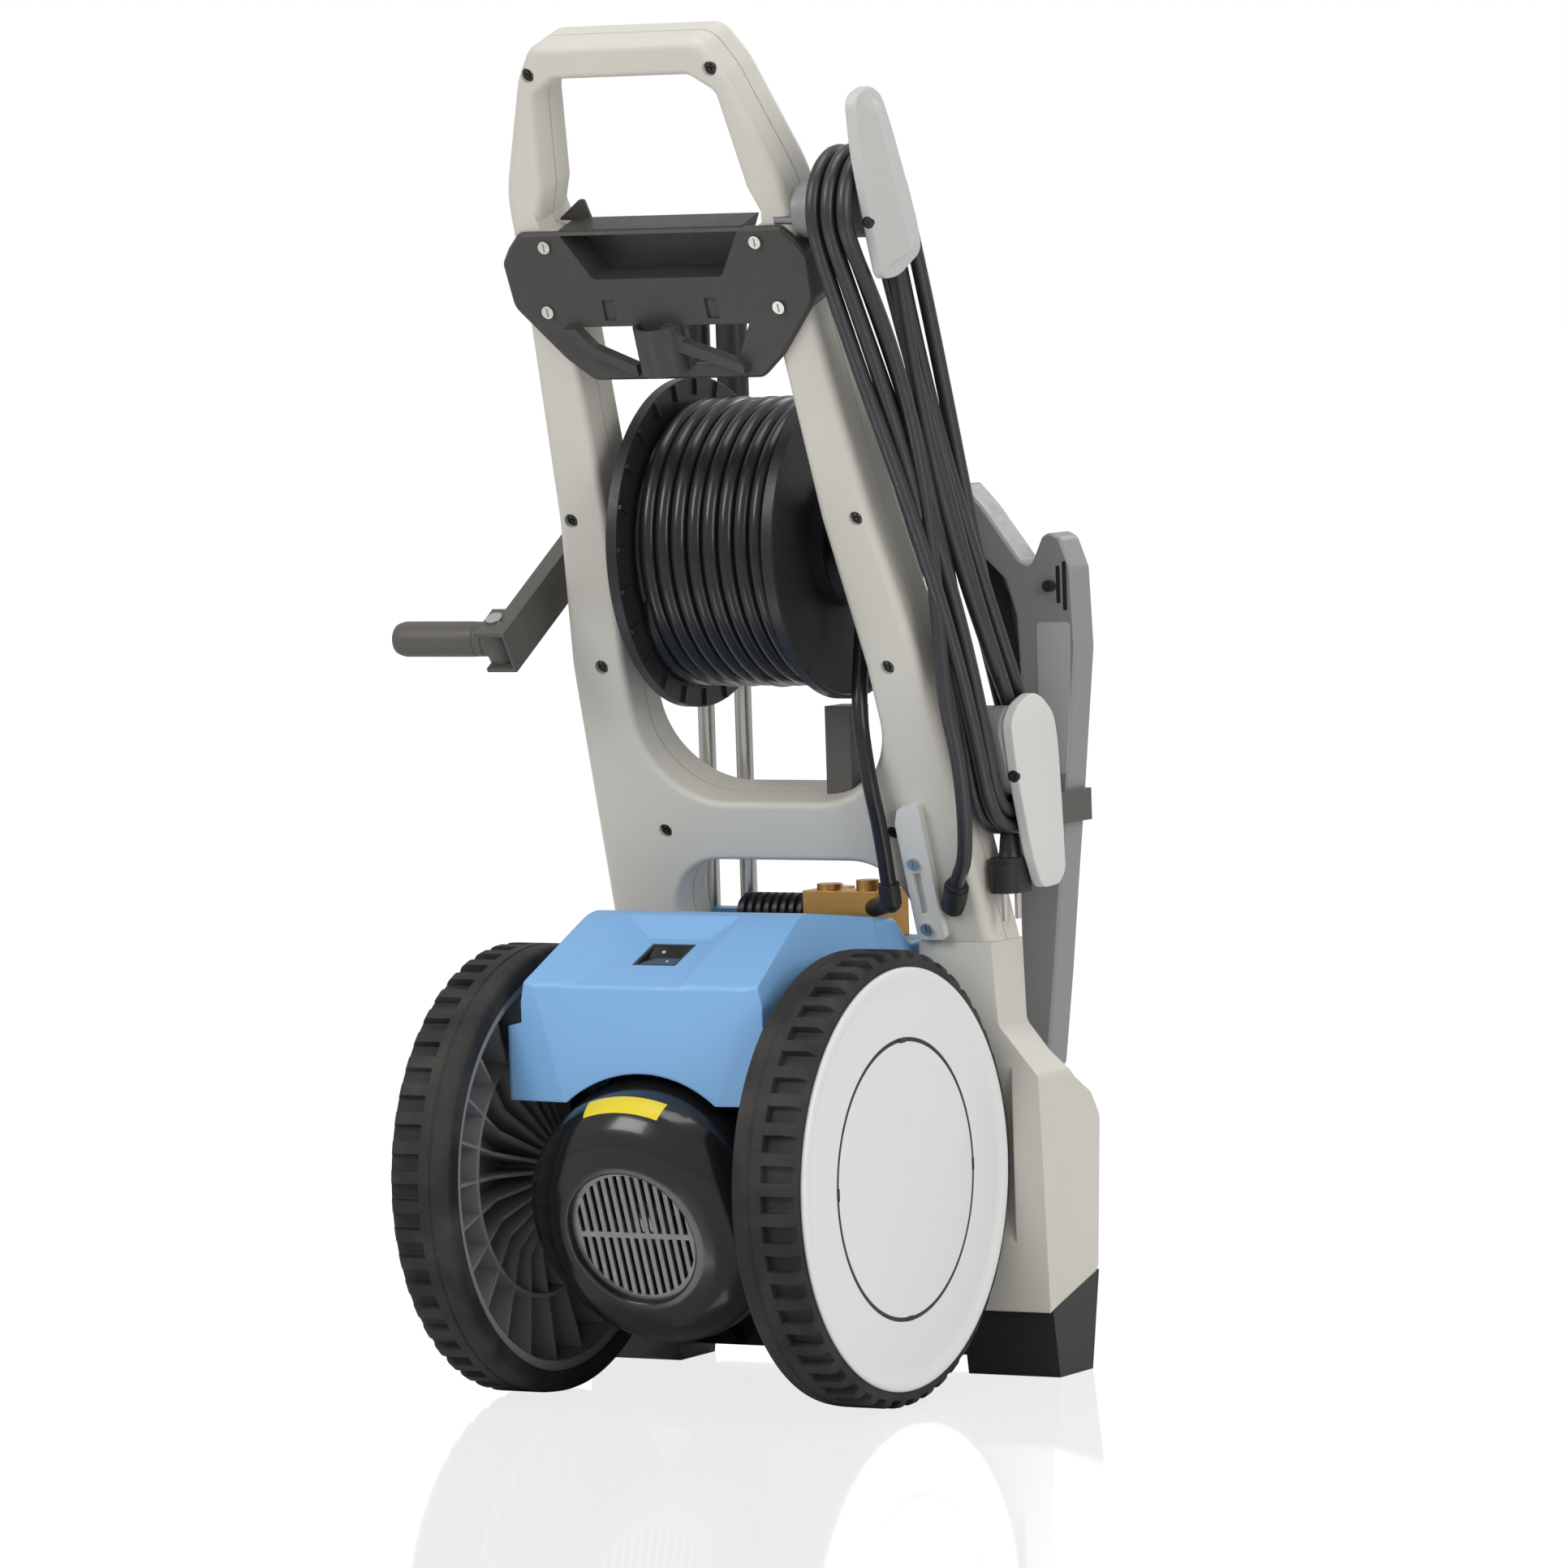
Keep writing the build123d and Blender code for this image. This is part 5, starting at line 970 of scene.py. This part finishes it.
# ---------------- motor end
@dataclass
class MotorEnd:
    """Lacquered fan cover with its bare yellow sticker."""

    radius: float = 91.0
    grille: float = 48.0
    length: float = 62.0
    shoulder: float = 80.5
    film: float = 0.25
    film_run: Pair = (7.5, 23.0)
    film_sweep: float = 0.68

    def profile(self) -> np.ndarray:
        """Section of the dome's outer face, from the grille's collar to the open end."""
        return softened([
            (self.grille - 3, -8.5), (self.grille - 1.2, -8.5), (self.grille, -7.5),
            (self.grille, -1.0), (self.grille + 1.0, 0.0), (self.grille + 5.5, -0.3),
            (67.0, -3.2), (78.0, -9.5), (86.8, -19.0), (self.radius, -32.0),
            (self.radius, -self.length), (self.radius - 2.5, -self.length),
            (self.radius - 2.5, -34.0)],
            [0, 0.6, 0.6, 0.8, 0.6, 3, 7, 7, 8, 10, 0.4, 0.4, 0], closed=False, steps=7)

    def sticker(self) -> None:
        """Curved film over the dome's upper shoulder, a film's thickness outside its section."""
        section = self.profile()
        rising = slice(20, 60)
        first = np.interp(self.shoulder, section[rising, 0], travelled(section)[rising])
        line = at_distances(section, first + np.linspace(*self.film_run, 12))
        slope = np.gradient(line, axis=0)
        outwards = np.column_stack([-slope[:, 1], slope[:, 0]])
        line += self.film * outwards / np.linalg.norm(slope, axis=1)[:, None]
        grid = lathe(line, ON_MOTOR, 40, pi / 2 - self.film_sweep / 2, self.film_sweep)
        piece = skin("fan_cover_sticker", [Patch(grid)], 60)
        dressed(piece, STICKER, Body.CHASSIS)

    def build(self) -> None:
        """Makes the dome and the sticker."""
        grid = lathe(self.profile(), ON_MOTOR, 144)
        piece = skin("fan_cover_dome", [Patch(grid, True)], 30)
        dressed(piece, BLACK_GLOSS, Body.CHASSIS, ("fan_cover",))
        self.sticker()


# ---------------- cable hooks
@dataclass
class HookPlates:
    """Ridged plates of both cable hooks, with the dark screws in their rear edges."""

    inner_x: float = 172.0
    thick: float = 12.0
    upper: Outline = (
        (45, 886), (67, 878), (62, 842), (47, 795), (33, 757), (12, 759), (-20, 775), (-14, 797),
        (16, 857), (30, 880))
    upper_round: tuple[float, ...] = (8, 10, 12, 12, 7, 8, 9, 9, 9, 8)
    upper_ridge: Outline = ((43, 868), (2, 776))
    lower: Outline = (
        (-158, 471), (-137, 464), (-126, 452), (-134, 414), (-152, 360), (-165, 336), (-190, 337),
        (-199, 346), (-197, 387), (-193, 436), (-188, 455), (-172, 467))
    lower_round: tuple[float, ...] = (7, 6, 7, 12, 9, 8, 5, 5, 12, 9, 7, 6)
    lower_ridge: Outline = ((-163, 450), (-180, 352))

    def plate(self, corners: Points, radii: Sequence[float], ridge: Points, band: float) -> Patch:
        """One plate: a rounded side, a sloping band and two facets up to a ridge.

        The last ring has each point moved to the nearest place on the ridge, so that the facets
        meet along it.
        """
        axis = Axis((-self.inner_x, 0, 0), (0, 1, 0), (0, 0, 1), (-1, 0, 0))
        outline = evened(softened(corners, radii, steps=11), 300)
        top = self.thick
        stack = rings(outline, (
            (0.0, 1.2), (0.6, 0.3), (1.6, 0.0), (top - 4.6, 0.0), (top - 4.0, 0.3),
            (top - 3.5, 1.0), (top - 2.6, band)), axis)
        start, end = np.array(ridge[0], float), np.array(ridge[1], float)
        share = np.clip((outline - start) @ (end - start) / np.sum((end - start) ** 2), 0.0, 1.0)
        nearest = start + (end - start) * share[:, None]
        last = np.column_stack([nearest, np.full(len(outline), top)])
        grid = np.concatenate([stack, axis.out(last)[None]])
        return Patch(grid, round_v=True, capped=True)

    def screw(self, name: str, place: Pair, tilt: float, body: Body) -> None:
        """Dark recessed screw in the rear edge of a plate."""
        axis = Axis((-self.inner_x - 4.6, *place), (1, 0, 0), (0, sin(tilt), cos(tilt)),
                    (0, cos(tilt), -sin(tilt)))
        section = softened([(0.0, 0.1), (1.2, 0.1), (1.5, 0.5), (3.4, 0.5), (3.8, 0.1), (4.2, 0.3),
                            (4.3, -1.6)], [0, 0.1, 0.1, 0.4, 0.2, 0.1, 0], closed=False)
        dressed(skin(name, [Patch(lathe(section, axis, 40), True)], 30), BLACK, body)

    def build(self) -> None:
        """Makes both plates and their screws."""
        upper = self.plate(self.upper, self.upper_round, self.upper_ridge, 8.0)
        piece = skin("hook_plate_upper", [upper], 9)
        dressed(piece, HOOK_GREY, Body.HOOK, ("hook_upper",))
        lower = self.plate(self.lower, self.lower_round, self.lower_ridge, 7.0)
        piece = skin("hook_plate_lower", [lower], 9)
        dressed(piece, SHELL_PALE, Body.CHASSIS, ("hook_lower",))
        self.screw("hook_screw_upper", (46.9, 795.0), 0.35, Body.HOOK)
        self.screw("hook_screw_lower", (-133.9, 415.0), 0.21, Body.CHASSIS)


# ---------------- spray gun
@dataclass
class GunCase:
    """Dark strips of painted shade in the gun's vents, and the bare label field on the gun's body.
    """

    rear_y: float = -219.0

    def build(self) -> None:
        """Makes the painted vent shade and the label field."""
        self.vents()
        self.label()

    def vents(self) -> None:
        """Two narrow dark strips, a fifth of a millimetre proud of the body's rear face: painted
        shade that stands for the shadowed hollows of the vents.
        """
        patches = []
        for x, z, tall in ((-170.0, 541.0, 26.0), (-175.0, 540.0, 34.0)):
            axis = Axis((x, self.rear_y, z), (1, 0, 0), (0, 0, 1), (0, 1, 0))
            end = tall / 2
            outline = softened([(-1.6, -end), (1.6, -end), (1.6, end), (-1.6, end)], [1.4] * 4)
            patches.append(slab(outline, ((-1.0, 0.0), (0.15, 0.0), (0.2, 0.3)), axis))
        # The black satin on these strips is painted shade of the vent openings, not a part of its
        # own.
        dressed(skin("gun_vent_shade_strips", patches, 30), BLACK_DEEP, Body.GUN)

    def label(self) -> None:
        """Bare field below the vents, a quarter of a millimetre proud."""
        axis = Axis((0, self.rear_y, 0), (1, 0, 0), (0, 0, 1), (0, 1, 0))
        outline = softened([(-178.5, 515), (-176.5, 455), (-172.5, 410), (-152, 410), (-152, 515)],
                           [4, 20, 4, 4, 4])
        field = slab(outline, ((-0.6, 0.0), (0.2, 0.0), (0.25, 0.4)), axis)
        dressed(skin("gun_label_field", [field], 30), GUN_LABEL, Body.GUN)


# ---------------- crank
@dataclass
class CrankGrip:
    """Turned grip with a parting groove and a rounded end."""

    start: float = 167.0
    end: float = 241.0
    radius: float = 12.3

    def build(self) -> None:
        """Turns the grip from its section, with one fine groove near the collar."""
        a, b, r = self.start, self.end, self.radius
        section = softened([
            (5.3, a), (r - 1.2, a), (r - 0.3, a + 1.2), (r - 0.2, a + 7.0), (r - 0.8, a + 7.6),
            (r - 0.2, a + 8.2), (r, a + 14), (r, b - 7), (r - 1.8, b - 1.6), (r - 5, b), (0.0, b)],
            [0, 0.6, 0.6, 0.2, 0.3, 0.2, 4, 4, 2, 3, 0], closed=False)
        piece = skin("crank_grip_skin", [Patch(lathe(section, ON_GRIP, 96), True)], 30)
        dressed(piece, CRANK_GREY, Body.GRIP, ("crank_grip",))


# ---------------- switch
@dataclass
class SwitchMarks:
    """Two white strokes on the rocker, a bar and a ring."""

    place: Place = (5.5, 33.0, 305.66)
    sunk: float = 4.2

    def build(self) -> None:
        """Puts both marks just above the rocker's halves."""
        rise, run = 27.0, 68.0
        size = (rise ** 2 + run ** 2) ** 0.5
        normal = np.array([0.0, rise, run]) / size
        along = np.array([0.0, run, -rise]) / size
        base = np.array(self.place) - normal * self.sunk
        axis = Axis(tuple(base), (1, 0, 0), tuple(along), tuple(normal))
        bar = softened([(-6.0, 5.6), (-5.0, 5.6), (-5.0, 8.0), (-6.0, 8.0)], [0.2] * 4)
        turn = np.linspace(0, 2 * pi, 24, endpoint=False)
        ring = np.column_stack([1.3 * np.cos(turn) + 4.0, 1.3 * np.sin(turn) - 6.5])
        patches = [slab(shape, ((1.0, 0.0), (2.75 + k * 0.3, 0.0), (2.8 + k * 0.3, 0.1)), axis)
                   for k, shape in enumerate((bar, ring))]
        dressed(skin("switch_marks", patches, 30), MARK, Body.ROCKER)


def main() -> None:
    """Loads the frame and makes every group in order."""
    logging.basicConfig(level=logging.INFO, format="%(name)s: %(message)s")
    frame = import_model()
    Studio().build()
    MainsCable().build()
    HoseDrum().build()
    paint_nodes(frame["nodes"])
    Wheel(Body.WHEEL_LEFT, ON_AXLE_LEFT, "left").build()
    Wheel(Body.WHEEL_RIGHT, ON_AXLE_RIGHT, "right").build()
    MotorEnd().build()
    HookPlates().build()
    GunCase().build()
    CrankGrip().build()
    SwitchMarks().build()
    LOG.info("boxes written")


if __name__ == "__main__":
    main()
